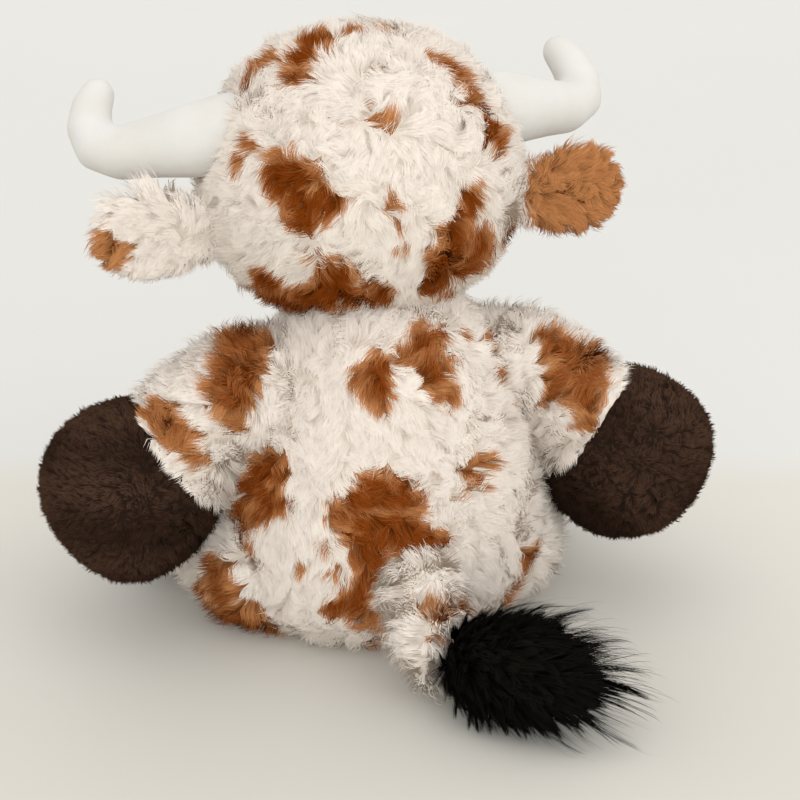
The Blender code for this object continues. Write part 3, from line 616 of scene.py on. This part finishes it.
@kept
def ground(name):
    """A pale table whose far edge meets a slightly paler ground, both painted lighter further back.
    """
    finish = Finish(name, Roughness=0.55, Specular_IOR_Level=0.3)
    own = colours()
    azimuth = math.radians(CAMERA_AZIMUTH)
    away = finish.add(
        "ShaderNodeVectorMath",
        {"operation": "DOT_PRODUCT"},
        {0: finish.place(), 1: (-math.sin(azimuth), math.cos(azimuth), 0.0)},
        output="Value",
    )
    beyond = finish.spread(away, 0.15, 0.2)
    mottle = finish.noise(3.0, 3.0)
    # Painted light: the table is up to 8% lighter towards its far edge.
    table = finish.scaled(own.table, 1.0 + finish.spread(away, -0.15, 0.12) * 0.08)
    near = finish.mix(beyond, table, own.backdrop)
    # Painted light: the ground beyond grows lighter with distance, against the light's falloff.
    painted_far_light = finish.scaled(own.backdrop, 1.07)
    pale = finish.mix(finish.spread(away, 0.3, 2.2), near, painted_far_light)
    return finish.set(
        Base_Color=finish.scaled(pale, 0.98 + mottle * 0.04),
        Roughness=0.5 + mottle * 0.1,
    )


# The cloth of each slot, and the pile on it
CLOTHS = {
    "cream_plush": (mottled_cloth, mottled_pile),
    "hoof_plush": (hoof_cloth, hoof_pile),
    "muzzle_plush": (face_cloth, face_pile),
    "horn_velour": (horn_velour, None),
    "black_hair": (hair_base, black_hair),
}


def link(obj):
    bpy.context.scene.collection.objects.link(obj)
    return obj


def dress(obj, body, material, nodes=()):
    """Gives a finished piece its material and body, and hides the CAD nodes it stands for."""
    obj.data.materials.clear()
    obj.data.materials.append(material)
    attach(obj, body)
    if nodes:
        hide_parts(*nodes)
    return obj


def repaint(node, material):
    """Gives a CAD node that stays in view its material."""
    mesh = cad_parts[node].data
    mesh.materials.clear()
    mesh.materials.append(material)


def arrays_of(mesh):
    """A mesh's points and triangles."""
    points = np.empty(len(mesh.vertices) * 3, np.float32)
    mesh.vertices.foreach_get("co", points)
    mesh.calc_loop_triangles()
    faces = np.empty(len(mesh.loop_triangles) * 3, np.int32)
    mesh.loop_triangles.foreach_get("vertices", faces)
    return points.reshape(-1, 3).astype(float), faces.reshape(-1, 3)


def joined(surfaces):
    """Several surfaces' points and triangles as one."""
    all_points, all_faces, start = [], [], 0
    for points, faces in surfaces:
        all_points.append(points)
        all_faces.append(faces + start)
        start += len(points)
    return np.concatenate(all_points), np.concatenate(all_faces)


def cad_arrays(nodes):
    """The points and triangles of several CAD nodes together."""
    return joined(arrays_of(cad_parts[node].data) for node in nodes)


def search_tree(points, faces):
    return BVHTree.FromPolygons(points.tolist(), faces.tolist())


def mesh_from(name, points, faces):
    mesh = bpy.data.meshes.new(name)
    mesh.from_pydata([tuple(p) for p in points], [], [tuple(f) for f in faces])
    mesh.shade_smooth()
    return mesh


def unit(vectors):
    return vectors / np.maximum(np.linalg.norm(vectors, axis=-1, keepdims=True), 1e-12)


def crossed(points, faces):
    """For each triangle, a vector along its normal that is twice its area long."""
    corners = points[faces]
    return np.cross(corners[:, 1] - corners[:, 0], corners[:, 2] - corners[:, 0])


def point_normals(points, faces):
    across = crossed(points, faces)
    normals = np.zeros_like(points)
    for corner in range(3):
        np.add.at(normals, faces[:, corner], across)
    return unit(normals)


def largest_shell(points, faces):
    """Keeps the biggest closed surface, without the small ones that seams leave inside."""
    label = np.arange(len(points))
    while True:
        low = label[faces].min(axis=1)
        fresh = label.copy()
        for corner in range(3):
            np.minimum.at(fresh, faces[:, corner], low)
        fresh = fresh[fresh]
        if (fresh == label).all():
            break
        label = fresh
    names, counts = np.unique(label[faces[:, 0]], return_counts=True)
    faces = faces[label[faces[:, 0]] == names[counts.argmax()]]
    used, faces = np.unique(faces, return_inverse=True)
    return points[used], faces.reshape(-1, 3)


def fused(nodes, voxel, passes):
    """One smooth closed surface over several CAD solids."""
    points, faces = cad_arrays(nodes)
    obj = link(bpy.data.objects.new("fused", mesh_from("fused", points, faces)))
    remesh = obj.modifiers.new("remesh", "REMESH")
    remesh.mode = "VOXEL"
    remesh.voxel_size = voxel
    smooth = obj.modifiers.new("smooth", "SMOOTH")
    smooth.factor = 0.5
    smooth.iterations = passes
    graph = bpy.context.evaluated_depsgraph_get()
    mesh = obj.evaluated_get(graph).to_mesh()
    points, faces = arrays_of(mesh)
    bpy.data.objects.remove(obj)
    return largest_shell(points, faces)


class Form:
    """The smooth surface of one stuffed part: points, triangles and outward normals."""

    def __init__(self, points, faces):
        self.points = points
        self.faces = faces
        self.normals = point_normals(points, faces)
        self.free = None

    def moved(self, out):
        points = self.points + self.normals * out
        points[:, 2] = np.maximum(points[:, 2], LOWEST)
        return points


forms = {}


def form(name):
    """The part's form, made when first asked for."""
    if name not in forms:
        nodes, _, voxel, passes = FORMS[name]
        made = Form(*fused(nodes, voxel * MM, passes))
        made.points = made.moved(FORM_OUT)
        forms[name] = made
    return forms[name]


def others_tree(name):
    """A search tree over every form but this one and those its pile may run into."""
    passed = (name, *OVERGROWN.get(name, ()))
    others = [form(other) for other in FORMS if other not in passed]
    return search_tree(*joined((other.points, other.faces) for other in others))


def nearest_node(name, nodes):
    """For each face of a form, which of the CAD nodes it lies nearest to."""
    made = form(name)
    middles = made.points[made.faces].mean(axis=1)
    distances = []
    for node in nodes:
        tree = search_tree(*cad_arrays([node]))
        distances.append([tree.find_nearest(Vector(middle))[3] for middle in middles])
    return np.argmin(np.array(distances), axis=0)


def waves(points, seed, length, count=9):
    """A smooth random direction at each point, from a sum of plane waves."""
    rng = np.random.default_rng(seed)
    ways = unit(rng.normal(size=(count, 3)))
    lengths = length * rng.uniform(0.7, 1.6, count)
    turns = points @ (ways * (math.tau / lengths)[:, None]).T + rng.uniform(0, math.tau, count)
    return np.sin(turns) @ rng.normal(size=(count, 3)) / math.sqrt(count)


def mottle(name, points):
    """How brown each point is, from below 0 to above 1, and how deep it lies in its patch."""
    spots = [spot for patch in PATCHES.get(name, {}).values() for spot in patch]
    reach = np.full(len(points), -9.0)
    if not spots:
        return reach, np.zeros(len(points))
    warped = points + waves(points, 5, 0.011) * 0.0012 + waves(points, 6, 0.004) * 0.0007
    for x, y, z, radius in np.array(spots) * MM:
        away = np.linalg.norm(warped - (x, y, z), axis=1)
        reach = np.maximum(reach, (radius * SPOT_GROWTH + SPOT_MARGIN - away) / SPOT_EDGE)
    patchy = 0.75 + waves(points, 7, 0.012)[:, 0] * 0.45
    return reach, np.clip(reach / SPOT_DEPTH * patchy, 0.0, 1.0)


def cover(name, piece, faces, slot, nodes):
    """The sewn cloth itself: a part's form, or some of its faces, under the pile."""
    made = form(name)
    used, kept_faces = np.unique(faces, return_inverse=True)
    points = made.points[used]
    mesh = mesh_from(piece, points, kept_faces.reshape(-1, 3))
    brown, depth = mottle(name, points)
    values = np.zeros((len(points), 4), np.float32)
    values[:, 0] = np.clip(brown + 0.5, 0.0, 1.0)
    values[:, 1] = depth
    values[:, 3] = 0.5
    mesh.attributes.new("pile", "FLOAT_COLOR", "POINT").data.foreach_set("color", values.ravel())
    obj = link(bpy.data.objects.new(piece, mesh))
    return dress(obj, FORMS[name][1], CLOTHS[slot][0](), nodes)


def filling(node, body, maker=wadding, lumps=0.0006):
    """Wadding, or another filling, in the shape of its CAD solid, a little smaller and uneven."""
    points, faces = fused([node], 3.0 * MM, 2)
    normals = point_normals(points, faces)
    uneven = (waves(points, 21, 0.014) * normals).sum(axis=1, keepdims=True)
    points = points + normals * (uneven * lumps - 0.0012)
    obj = link(bpy.data.objects.new(f"{node}_fill", mesh_from(f"{node}_fill", points, faces)))
    return dress(obj, body, maker(), [node])


def scatter(name, faces, count, rng):
    """Root points spread evenly over faces of a form, with their normals and their room."""
    made = form(name)
    area = np.linalg.norm(crossed(made.points, faces), axis=1)
    chosen = rng.choice(len(faces), size=count, p=area / area.sum())
    first, second = rng.random(count), rng.random(count)
    folded = first + second > 1.0
    first[folded], second[folded] = 1.0 - first[folded], 1.0 - second[folded]
    shares = np.stack([1.0 - first - second, first, second], axis=1)
    roots = (made.points[faces[chosen]] * shares[:, :, None]).sum(axis=1)
    normals = unit((made.normals[faces[chosen]] * shares[:, :, None]).sum(axis=1))
    return roots, normals, (clearance(name)[faces[chosen]] * shares).sum(axis=1)


def area_of(name, faces):
    return np.linalg.norm(crossed(form(name).points, faces), axis=1).sum() / 2.0


def clearance(name):
    """How far each point of a form is from the parts beside it; zero where it is covered."""
    made = form(name)
    if made.free is None:
        tree = others_tree(name)
        made.free = np.full(len(made.points), REACH)
        for i, (point, normal) in enumerate(zip(made.points, made.normals)):
            place, way = Vector(point), Vector(normal)
            spot, faced, _, away = tree.find_nearest(place, REACH)
            if spot is None:
                continue
            if (place - spot).dot(faced) < -INSIDE:
                made.free[i] = 0.0
                continue
            if faced.dot(way) < 0.2:
                made.free[i] = away
            ahead = tree.ray_cast(place + way * 0.0005, way, REACH)[3]
            if ahead is not None:
                made.free[i] = min(made.free[i], ahead * 0.6)
    return made.free


def gather(roots, count, rng):
    """Splits the locks into clumps: for each lock, the one that leads its clump."""
    leaders = rng.choice(len(roots), size=count, replace=False)
    tree = KDTree(count)
    for i, leader in enumerate(leaders):
        tree.insert(roots[leader], i)
    tree.balance()
    return leaders[np.array([tree.find(root)[1] for root in roots])]


def drawn_in(lines, roots, leader, drawn, apart):
    """Draws each lock towards the one that leads its clump."""
    towards = lines[leader] + (roots - roots[leader])[:, None, :] * apart
    return lines * (1.0 - drawn) + towards * drawn


def ribbons(piece, lines, halves, shading, values):
    """Flat tapering locks as one mesh, with a UV cell for each."""
    count, stations, _ = lines.shape
    per = 2 * stations - 1
    points = np.empty((count, per, 3), np.float32)
    points[:, 0:-1:2] = lines[:, :-1] - halves[:, :-1]
    points[:, 1:-1:2] = lines[:, :-1] + halves[:, :-1]
    points[:, -1] = lines[:, -1]
    points[:, :, 2] = np.maximum(points[:, :, 2], LOWEST)
    normals = np.repeat(shading[:, None, :], per, axis=1).astype(np.float32)
    loops, starts, across, along = [], [], [], []
    for station in range(stations - 1):
        low = 2 * station
        starts.append(len(loops))
        v0, v1 = station / (stations - 1), (station + 1) / (stations - 1)
        if station < stations - 2:
            loops += [low, low + 1, low + 3, low + 2]
            across += [0.0, 1.0, 1.0, 0.0]
            along += [v0, v0, v1, v1]
        else:
            loops += [low, low + 1, low + 2]
            across += [0.0, 1.0, 0.5]
            along += [v0, v0, v1]
    step = np.arange(count)
    corners = (np.array(loops)[None, :] + step[:, None] * per).ravel()
    begins = (np.array(starts)[None, :] + step[:, None] * len(loops)).ravel()
    cells = math.ceil(math.sqrt(count))
    u = (step[:, None] % cells + 0.15 + 0.7 * np.array(across)[None, :]) / cells
    v = (step[:, None] // cells + 0.15 + 0.7 * np.array(along)[None, :]) / cells
    mesh = bpy.data.meshes.new(piece)
    mesh.vertices.add(count * per)
    mesh.vertices.foreach_set("co", points.ravel())
    mesh.loops.add(len(corners))
    mesh.loops.foreach_set("vertex_index", corners.astype(np.int32))
    mesh.polygons.add(len(begins))
    mesh.polygons.foreach_set("loop_start", begins.astype(np.int32))
    mesh.update(calc_edges=True)
    mesh.uv_layers.new(name="OFBake").data.foreach_set(
        "uv", np.stack([u.ravel(), v.ravel()], axis=1).astype(np.float32).ravel()
    )
    mesh.shade_smooth()
    mesh.normals_split_custom_set_from_vertices(normals.reshape(-1, 3))
    run = np.repeat(np.arange(stations) / (stations - 1), 2)[:per]
    shown = np.empty((count, per, 4), np.float32)
    shown[:, :, 0] = values[0][:, None]
    shown[:, :, 1] = values[1][:, None]
    shown[:, :, 2] = run[None, :]
    shown[:, :, 3] = values[2][:, None]
    mesh.attributes.new("pile", "FLOAT_COLOR", "POINT").data.foreach_set("color", shown.ravel())
    return link(bpy.data.objects.new(piece, mesh))


def lay_pile(name, piece, faces, style, slot, seed, flow):
    """Covers faces of a form with locks of pile that lean, curl and gather in clumps."""
    rng = np.random.default_rng(seed)
    area = area_of(name, faces)
    roots, normals, free = scatter(name, faces, int(area * 1e6 * style["per_mm2"]), rng)
    hidden = (free < LEAST_ROOM) | ((roots[:, 2] < SEAT_HEIGHT) & (normals[:, 2] < -0.7))
    roots, normals, free = roots[~hidden], normals[~hidden], free[~hidden]
    count = len(roots)
    spacing = style["clump"]
    leader = gather(roots, min(max(int(area / spacing**2), 4), count), rng)
    own = rng.normal(size=(count, 3))
    bend = flow(roots, normals) + own[leader] * style["stray"]
    bend = unit(bend - normals * (bend * normals).sum(axis=1, keepdims=True))
    length = style["length"]
    tall = length * rng.uniform(0.85, 1.1, count)[leader] * rng.uniform(0.85, 1.1, count)
    tall *= np.clip(free / (FULL_ROOM * length), 0.4, 1.0)
    if "trim" in style:
        tall *= style["trim"](roots)
    wild = np.where(rng.random(count) < style["wild"], WILD_RISE, 1.0)
    shares = np.linspace(0.0, 1.0, LOCK_STATIONS)
    rise = style["rise"] * (1.0 - (1.0 - shares) ** 2)
    swirl = np.cross(normals, bend) * (rng.normal(size=count) * style["curl"])[leader][:, None]
    lines = roots[:, None, :] + tall[:, None, None] * (
        normals[:, None, :] * wild[:, None, None] * rise[None, :, None]
        + bend[:, None, :] * (style["lean"] * shares**1.3)[None, :, None]
        + swirl[:, None, :] * (4.0 * shares * (1.0 - shares))[None, :, None]
        + own[:, None, :] * (style["fray"] * shares**1.5)[None, :, None]
    )
    lines = drawn_in(lines, roots, leader, (style["gather"] * shares**1.2)[None, :, None], 0.3)
    travel = unit(lines[:, -1] - lines[:, 0])
    flat = unit(np.cross(travel, normals))
    turn = np.radians(rng.uniform(-35.0, 35.0, count))[:, None]
    flat = flat * np.cos(turn) + np.cross(travel, flat) * np.sin(turn)
    widths = style["width"] / 2 * (1.0 - 0.6 * shares**2)
    thick = rng.uniform(0.7, 1.3, count)
    halves = flat[:, None, :] * (widths[None, :] * thick[:, None])[:, :, None]
    swell = (roots - roots[leader]) / spacing
    shading = unit(normals + swell * style["round"] + travel * 0.1 + own * 0.035)
    shown = lines[:, -1] * 0.6 + lines[:, -2] * 0.4
    shown = shown - normals * ((shown - roots) * normals).sum(axis=1, keepdims=True)
    brown, depth = mottle(name, shown)
    brown = np.clip(brown + rng.normal(size=count) * 0.42 + 0.5, 0.0, 1.0)
    depth = np.clip(depth * style.get("depth", 1.0) + rng.normal(size=count) * 0.15, 0.0, 1.0)
    # Hooves: a painted sheen share takes the place of the depth value.
    if style.get("brushed"):
        centre = (roots.min(axis=0) + roots.max(axis=0)) / 2
        # Painted light: lighter on the hoof's outer and upper side, and in broad streaks.
        out = unit(roots - centre) @ np.array((np.sign(centre[0]), 0.0, 0.35))
        painted_sheen_share = waves(roots, seed + 1, 0.034)[:, 0] * 0.5 + out * 0.42
        depth = np.clip(0.34 + painted_sheen_share + rng.normal(size=count) * 0.15, 0.0, 1.0)
    tint = np.clip(rng.normal(0.5, 0.2, count) + rng.normal(0.0, 0.15, count)[leader], 0.0, 1.0)
    order = rng.permutation(count)
    casting = int(count * CASTING_SHARE)
    rest = math.ceil((count - casting) / MOST_LOCKS[LOCK_STATIONS])
    parts = [order[:casting], *np.array_split(order[casting:], rest)]
    for part, chosen in enumerate(parts):
        made = ribbons(
            f"{piece}_{part + 1}", lines[chosen], halves[chosen], shading[chosen],
            (brown[chosen], depth[chosen], tint[chosen]),
        )
        made.visible_shadow = made.visible_diffuse = part == 0
        dress(made, FORMS[name][1], CLOTHS[slot][1]())


def plush_style():
    own = sizes()
    return {
        "length": own.pile_length, "width": own.pile_width, "per_mm2": 3.3, "clump": own.clump,
        "stray": 0.42, "fray": 0.07, "rise": 0.46, "lean": 0.7, "gather": 0.28, "round": 0.16,
        "curl": 0.12, "wild": 0.14,
    }


def short_style(length, width, clump):
    return {
        "length": length, "width": width, "per_mm2": 2.4, "clump": clump, "stray": 0.3,
        "gather": 0.25, "curl": 0.08,
    }


def hoof_style():
    return {
        **short_style(sizes().hoof_pile, HOOF_LOCK_WIDTH, 0.0035),
        # brushed turns on the painted hoof sheen.
        "fray": 0.08, "rise": 0.62, "lean": 0.65, "round": 0.12, "wild": 0.12, "brushed": True,
    }


def face_style():
    return {
        **short_style(sizes().face_pile, FACE_LOCK_WIDTH, 0.003),
        "fray": 0.07, "rise": 0.6, "lean": 0.7, "round": 0.2, "wild": 0.03,
    }


def tumbled(seed, down, forward, over=0.0):
    """A flow that swirls, hangs a little and lies towards the face, most of all on top."""

    def flow(roots, normals):
        swirls = waves(roots, seed, 0.034) + waves(roots, seed + 1, 0.013) * 0.55
        top = np.clip((normals[:, 2:] - 0.7) / 0.2, 0.0, 1.0)
        return swirls + (0.0, -forward, -down) + top * (0.0, -over, 0.0)

    return flow


def along(way, seed, swirl):
    """A flow that runs one way with some swirl."""

    def flow(roots, normals):
        swirls = waves(roots, seed, 0.03) + waves(roots, seed + 1, 0.012) * 0.5
        return np.array(way) + swirls * swirl

    return flow


def outward(middle, seed, swirl):
    """A flow that runs out from a middle to the rim."""

    def flow(roots, normals):
        away = unit((roots - middle) * np.array((1.0, 0.2, 1.0)))
        return away + waves(roots, seed, 0.014) * swirl

    return flow


def make_limb(kind, side, seed):
    """A sleeve of long pile that ends in a round hoof of short dark pile."""
    name = f"{kind}_{side}"
    nodes = [f"{kind}_sleeve_{side}", f"{kind}_hoof_{side}"]
    nearest = nearest_node(name, nodes)
    sleeve, hoof = (form(name).faces[nearest == which] for which in range(2))
    cover(name, f"{name}_sleeve_cloth", sleeve, "cream_plush", nodes[:1])
    cover(name, f"{name}_hoof_cloth", hoof, "hoof_plush", nodes[1:])
    filling(f"{kind}_stuffing_{side}", name)
    way = (SIDES[side] * 0.8, -0.3, -0.4) if kind == "arm" else (SIDES[side] * 0.3, -0.9, 0.0)
    style = {**plush_style(), "rise": 0.68, "lean": 0.58, "depth": 0.8}
    lay_pile(
        name, f"{name}_sleeve_pile", sleeve, style, "cream_plush", seed, along(way, seed, 0.75)
    )
    lay_pile(
        name, f"{name}_hoof_pile", hoof, hoof_style(), "hoof_plush", seed + 3,
        along((SIDES[side] * 0.3, -0.9, -0.15), seed + 5, 0.4),
    )


class PlushOperator(Operator):
    """Shared by the operators that build the toy."""

    bl_options = {"REGISTER", "UNDO"}

    def execute(self, context):
        self.build(context)
        return {"FINISHED"}


class COW_OT_stage(PlushOperator):
    """Camera, pale ground and soft light"""

    bl_idname = "cow.stage"
    bl_label = "Stage"

    def build(self, context):
        azimuth, elevation = math.radians(CAMERA_AZIMUTH), math.radians(CAMERA_ELEVATION)
        back = Vector((
            math.sin(azimuth) * math.cos(elevation),
            -math.cos(azimuth) * math.cos(elevation),
            math.sin(elevation),
        ))
        lens = bpy.data.cameras.new("camera")
        lens.sensor_width = SENSOR_MM
        lens.lens = FOCAL_PIXELS / FRAME_PIXELS * SENSOR_MM
        lens.shift_x = TARGET_LEFT_PIXELS / FRAME_PIXELS
        lens.clip_start = 0.02
        camera = link(bpy.data.objects.new("camera", lens))
        camera.location = CAMERA_TARGET + back * CAMERA_DISTANCE
        camera.rotation_mode = "QUATERNION"
        camera.rotation_quaternion = back.to_track_quat("Z", "Y")
        context.scene.camera = camera
        bm = bmesh.new()
        bmesh.ops.create_grid(bm, x_segments=8, y_segments=8, size=6.0)
        mesh = bpy.data.meshes.new("ground")
        bm.to_mesh(mesh)
        bm.free()
        floor = link(bpy.data.objects.new("ground", mesh))
        mesh.materials.append(ground())
        for each in LIGHTS:
            self.light(*each)
        world = bpy.data.worlds.new("studio")
        world.use_nodes = True
        sky = world.node_tree.nodes["Background"]
        sky.inputs["Color"].default_value = SKY_COLOUR
        sky.inputs["Strength"].default_value = SKY_STRENGTH
        context.scene.world = world
        context.scene.view_settings.view_transform = "Standard"

    def light(self, name, place, size, power):
        lamp = bpy.data.lights.new(name, "AREA")
        lamp.shape = "DISK"
        lamp.size = size
        lamp.energy = power
        obj = link(bpy.data.objects.new(name, lamp))
        obj.location = place
        obj.rotation_mode = "QUATERNION"
        obj.rotation_quaternion = (Vector(place) - CAMERA_TARGET).to_track_quat("Z", "Y")


class COW_OT_torso(PlushOperator):
    """Torso cloth, its filling and its long pile"""

    bl_idname = "cow.torso"
    bl_label = "Torso"

    def build(self, context):
        faces = form("torso").faces
        cover("torso", "torso_cloth", faces, "cream_plush", ["torso_skin"])
        filling("torso_stuffing", "torso")
        filling("pellet_bag", "torso", pellet_cloth, 0.0003)
        lay_pile(
            "torso", "torso_pile", faces, plush_style(), "cream_plush", 11,
            tumbled(12, 0.5, 0.4),
        )
        repaint("neck_seam", stitch_thread())


class COW_OT_head(PlushOperator):
    """Head cloth, its filling and its long pile"""

    bl_idname = "cow.head"
    bl_label = "Head"

    def build(self, context):
        faces = form("head").faces
        cover("head", "head_cloth", faces, "cream_plush", ["head_skin"])
        filling("head_stuffing", "head")
        eyes = [np.array(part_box(f"eye_{side}")) for side in SIDES]

        def trim(roots):
            """Long pile over the neck, and short pile round the eyes, so that they show."""
            low_down = np.clip((NECK_HEIGHT - roots[:, 2]) / NECK_FADE, 0.0, 1.0)
            kept_share = 1.0 + NECK_EXTRA * low_down
            for low, high in eyes:
                away = np.linalg.norm(roots - (low + high) / 2, axis=1) - (high[0] - low[0]) / 2
                kept_share = np.minimum(kept_share, np.clip(away / EYE_CLEARING, 0.1, 1.0))
            return kept_share

        style = {**plush_style(), "trim": trim, "depth": 1.1}
        lay_pile(
            "head", "head_pile", faces, style, "cream_plush", 31,
            tumbled(32, 0.45, 0.5, 1.4),
        )


class COW_OT_ears(PlushOperator):
    """Ears with long pile behind and short pile in front"""

    bl_idname = "cow.ears"
    bl_label = "Ears"

    def build(self, context):
        for number, side in enumerate(SIDES):
            name = f"ear_{side}"
            nodes = [f"ear_back_{side}", f"ear_lining_{side}"]
            nearest = nearest_node(name, nodes)
            behind, front = (form(name).faces[nearest == which] for which in range(2))
            cover(name, f"{name}_back_cloth", behind, "cream_plush", nodes[:1])
            cover(name, f"{name}_lining_cloth", front, "muzzle_plush", nodes[1:])
            low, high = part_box(nodes[0])
            middle = (np.array(low) + np.array(high)) / 2
            half = (high[0] - low[0]) / 2
            root = middle - np.array((SIDES[side] * half * 0.75, 0.0, 0.0))

            def trim(roots, side=side, middle=middle, half=half):
                out = np.clip(SIDES[side] * (roots[:, 0] - middle[0]) / half, 0.0, 1.0)
                up = np.clip((roots[:, 2] - middle[2]) / half, -1.0, 1.0)
                at_tip = 1.0 + (EAR_TIP_TRIM[side] - 1.0) * out**2
                return at_tip * (1.0 + EAR_TOP_TRIM[side] * up)

            style = {
                **plush_style(), "length": sizes().ear_pile, "per_mm2": 3.6, "rise": 0.55,
                "lean": 0.7, "clump": 0.005, "trim": trim, "depth": 0.2,
            }
            way = (SIDES[side], 0.0, -0.15)
            lay_pile(
                name, f"{name}_back_pile", behind, style, "cream_plush",
                51 + number, outward(root, 53 + number, 0.6),
            )
            lay_pile(
                name, f"{name}_lining_pile", front, face_style(), "muzzle_plush",
                55 + number, along(way, 57 + number, 0.3),
            )


class COW_OT_horns(PlushOperator):
    """Smooth velour horns and their filling"""

    bl_idname = "cow.horns"
    bl_label = "Horns"

    def build(self, context):
        for side in SIDES:
            name = f"horn_{side}"
            cover(name, f"{name}_velour", form(name).faces, "horn_velour", [name])
            filling(f"horn_stuffing_{side}", "head")


class COW_OT_face(PlushOperator):
    """Muzzle, stitched nostrils and mouth, and glossy eyes"""

    bl_idname = "cow.face"
    bl_label = "Face"

    def build(self, context):
        faces = form("muzzle").faces
        cover("muzzle", "muzzle_cloth", faces, "muzzle_plush", ["muzzle_skin"])
        filling("muzzle_stuffing", "head")
        lay_pile(
            "muzzle", "muzzle_pile", faces, face_style(), "muzzle_plush", 71,
            along((0.0, -0.1, -0.8), 72, 0.5),
        )
        for node in ("mouth_stitch", "nostril_left", "nostril_right"):
            repaint(node, stitch_thread())
        for side in SIDES:
            repaint(f"eye_{side}", eye_plastic())
            repaint(f"eye_washer_{side}", washer_plastic())


class COW_OT_arms(PlushOperator):
    """Arms: mottled sleeves and round hooves"""

    bl_idname = "cow.arms"
    bl_label = "Arms"

    def build(self, context):
        make_limb("arm", "left", 101)
        make_limb("arm", "right", 121)


class COW_OT_legs(PlushOperator):
    """Legs: mottled sleeves and round hooves"""

    bl_idname = "cow.legs"
    bl_label = "Legs"

    def build(self, context):
        make_limb("leg", "left", 141)
        make_limb("leg", "right", 161)


class COW_OT_tail(PlushOperator):
    """Tail with long pile and a tuft of long black hair"""

    bl_idname = "cow.tail"
    bl_label = "Tail"

    def build(self, context):
        faces = form("tail").faces
        cover("tail", "tail_cloth", faces, "cream_plush", ["tail_skin"])
        filling("tail_stuffing", "tail")
        style = {**plush_style(), "rise": 0.72, "lean": 0.55}
        lay_pile(
            "tail", "tail_pile", faces, style, "cream_plush", 181,
            along((-0.3, 0.8, -0.4), 182, 0.9),
        )
        core = form("tuft")
        core.points = core.moved(-CORE_DEPTH)
        cover("tuft", "tuft_base", core.faces, "black_hair", ["tail_tuft"])
        self.hair(core)

    def hair(self, core):
        """Short hair all over the tuft's core, with thin long wisps to the toy's right."""
        rng = np.random.default_rng(191)
        roots, normals, _ = scatter("tuft", core.faces, HAIRS, rng)
        keep = normals[:, 2] > -0.75
        roots, normals = roots[keep], normals[keep]
        count = len(roots)
        leader = gather(roots, HAIR_CLUMPS, rng)
        own = rng.normal(size=(count, 3))
        fan = unit(np.array((-0.8, 0.3, -0.05)) + normals * 0.8 + own[leader] * 0.2 + own * 0.06)
        forward = np.clip(fan @ np.array((-0.966, 0.259, 0.0)), 0.0, 1.0)
        thin = (rng.random(count) > 0.8) & (rng.random(count)[leader] > 0.3) & (forward > 0.6)
        toward = np.clip(normals[:, 1], 0.0, 1.0)
        reach = 0.16 + 0.16 * rng.random(count) + 0.07 * toward
        reach += thin * rng.uniform(0.1, 1.0, count) ** 1.5 * forward**3
        length = sizes().tuft_hair * reach
        shares = np.linspace(0.0, 1.0, HAIR_STATIONS)
        lines = roots[:, None, :] + length[:, None, None] * (
            fan[:, None, :] * shares[None, :, None]
            + normals[:, None, :] * (0.4 * shares * (1.0 - shares))[None, :, None]
        )
        lines[:, :, 2] -= (length[:, None] * 0.15) * shares[None, :] ** 2
        drawn = np.where(thin, 0.3, 0.75)[:, None, None] * (shares**1.2)[None, :, None]
        lines = drawn_in(lines, roots, leader, drawn, 0.15)
        travel = unit(lines[:, -1] - lines[:, 0])
        flat = unit(np.cross(travel, normals))
        widths = HAIR_HALF_WIDTH * (1.0 - 0.75 * shares**2)
        thick = rng.uniform(0.7, 1.2, count) * np.where(thin, 0.7, 1.0)
        halves = flat[:, None, :] * (widths[None, :] * thick[:, None])[:, :, None]
        shading = unit(normals + own * 0.2)
        zero, tint = np.zeros(count), rng.random(count)
        pieces = math.ceil(count / MOST_LOCKS[HAIR_STATIONS])
        for part, chosen in enumerate(np.array_split(rng.permutation(count), pieces)):
            values = (zero[chosen], zero[chosen], tint[chosen])
            made = ribbons(
                f"tuft_hair_{part + 1}", lines[chosen], halves[chosen], shading[chosen], values
            )
            dress(made, "tail", black_hair())


OPERATORS = (
    COW_OT_stage,
    COW_OT_torso,
    COW_OT_head,
    COW_OT_ears,
    COW_OT_horns,
    COW_OT_face,
    COW_OT_arms,
    COW_OT_legs,
    COW_OT_tail,
)


class COW_PT_plush(Panel):
    """Lists the steps that build the toy, and its sizes and colours"""

    bl_idname = "COW_PT_plush"
    bl_label = "Plush cow"
    bl_space_type = "VIEW_3D"
    bl_region_type = "UI"
    bl_category = "Plush cow"

    def draw(self, context):
        for operator in OPERATORS:
            self.layout.operator(operator.bl_idname, text=operator.bl_label)
        for group in (context.scene.plush_sizes, context.scene.plush_colours):
            for name in group.bl_rna.properties.keys():
                if name not in ("rna_type", "name"):
                    self.layout.prop(group, name)


CLASSES = (PlushSizes, PlushColours, *OPERATORS, COW_PT_plush)


def register():
    for each in CLASSES:
        bpy.utils.register_class(each)
    bpy.types.Scene.plush_sizes = PointerProperty(type=PlushSizes)
    bpy.types.Scene.plush_colours = PointerProperty(type=PlushColours)


def unregister():
    del bpy.types.Scene.plush_colours
    del bpy.types.Scene.plush_sizes
    for each in reversed(CLASSES):
        bpy.utils.unregister_class(each)


def main():
    register()
    for operator in OPERATORS:
        group, name = operator.bl_idname.split(".")
        getattr(getattr(bpy.ops, group), name)()


if __name__ == "__main__":
    main()
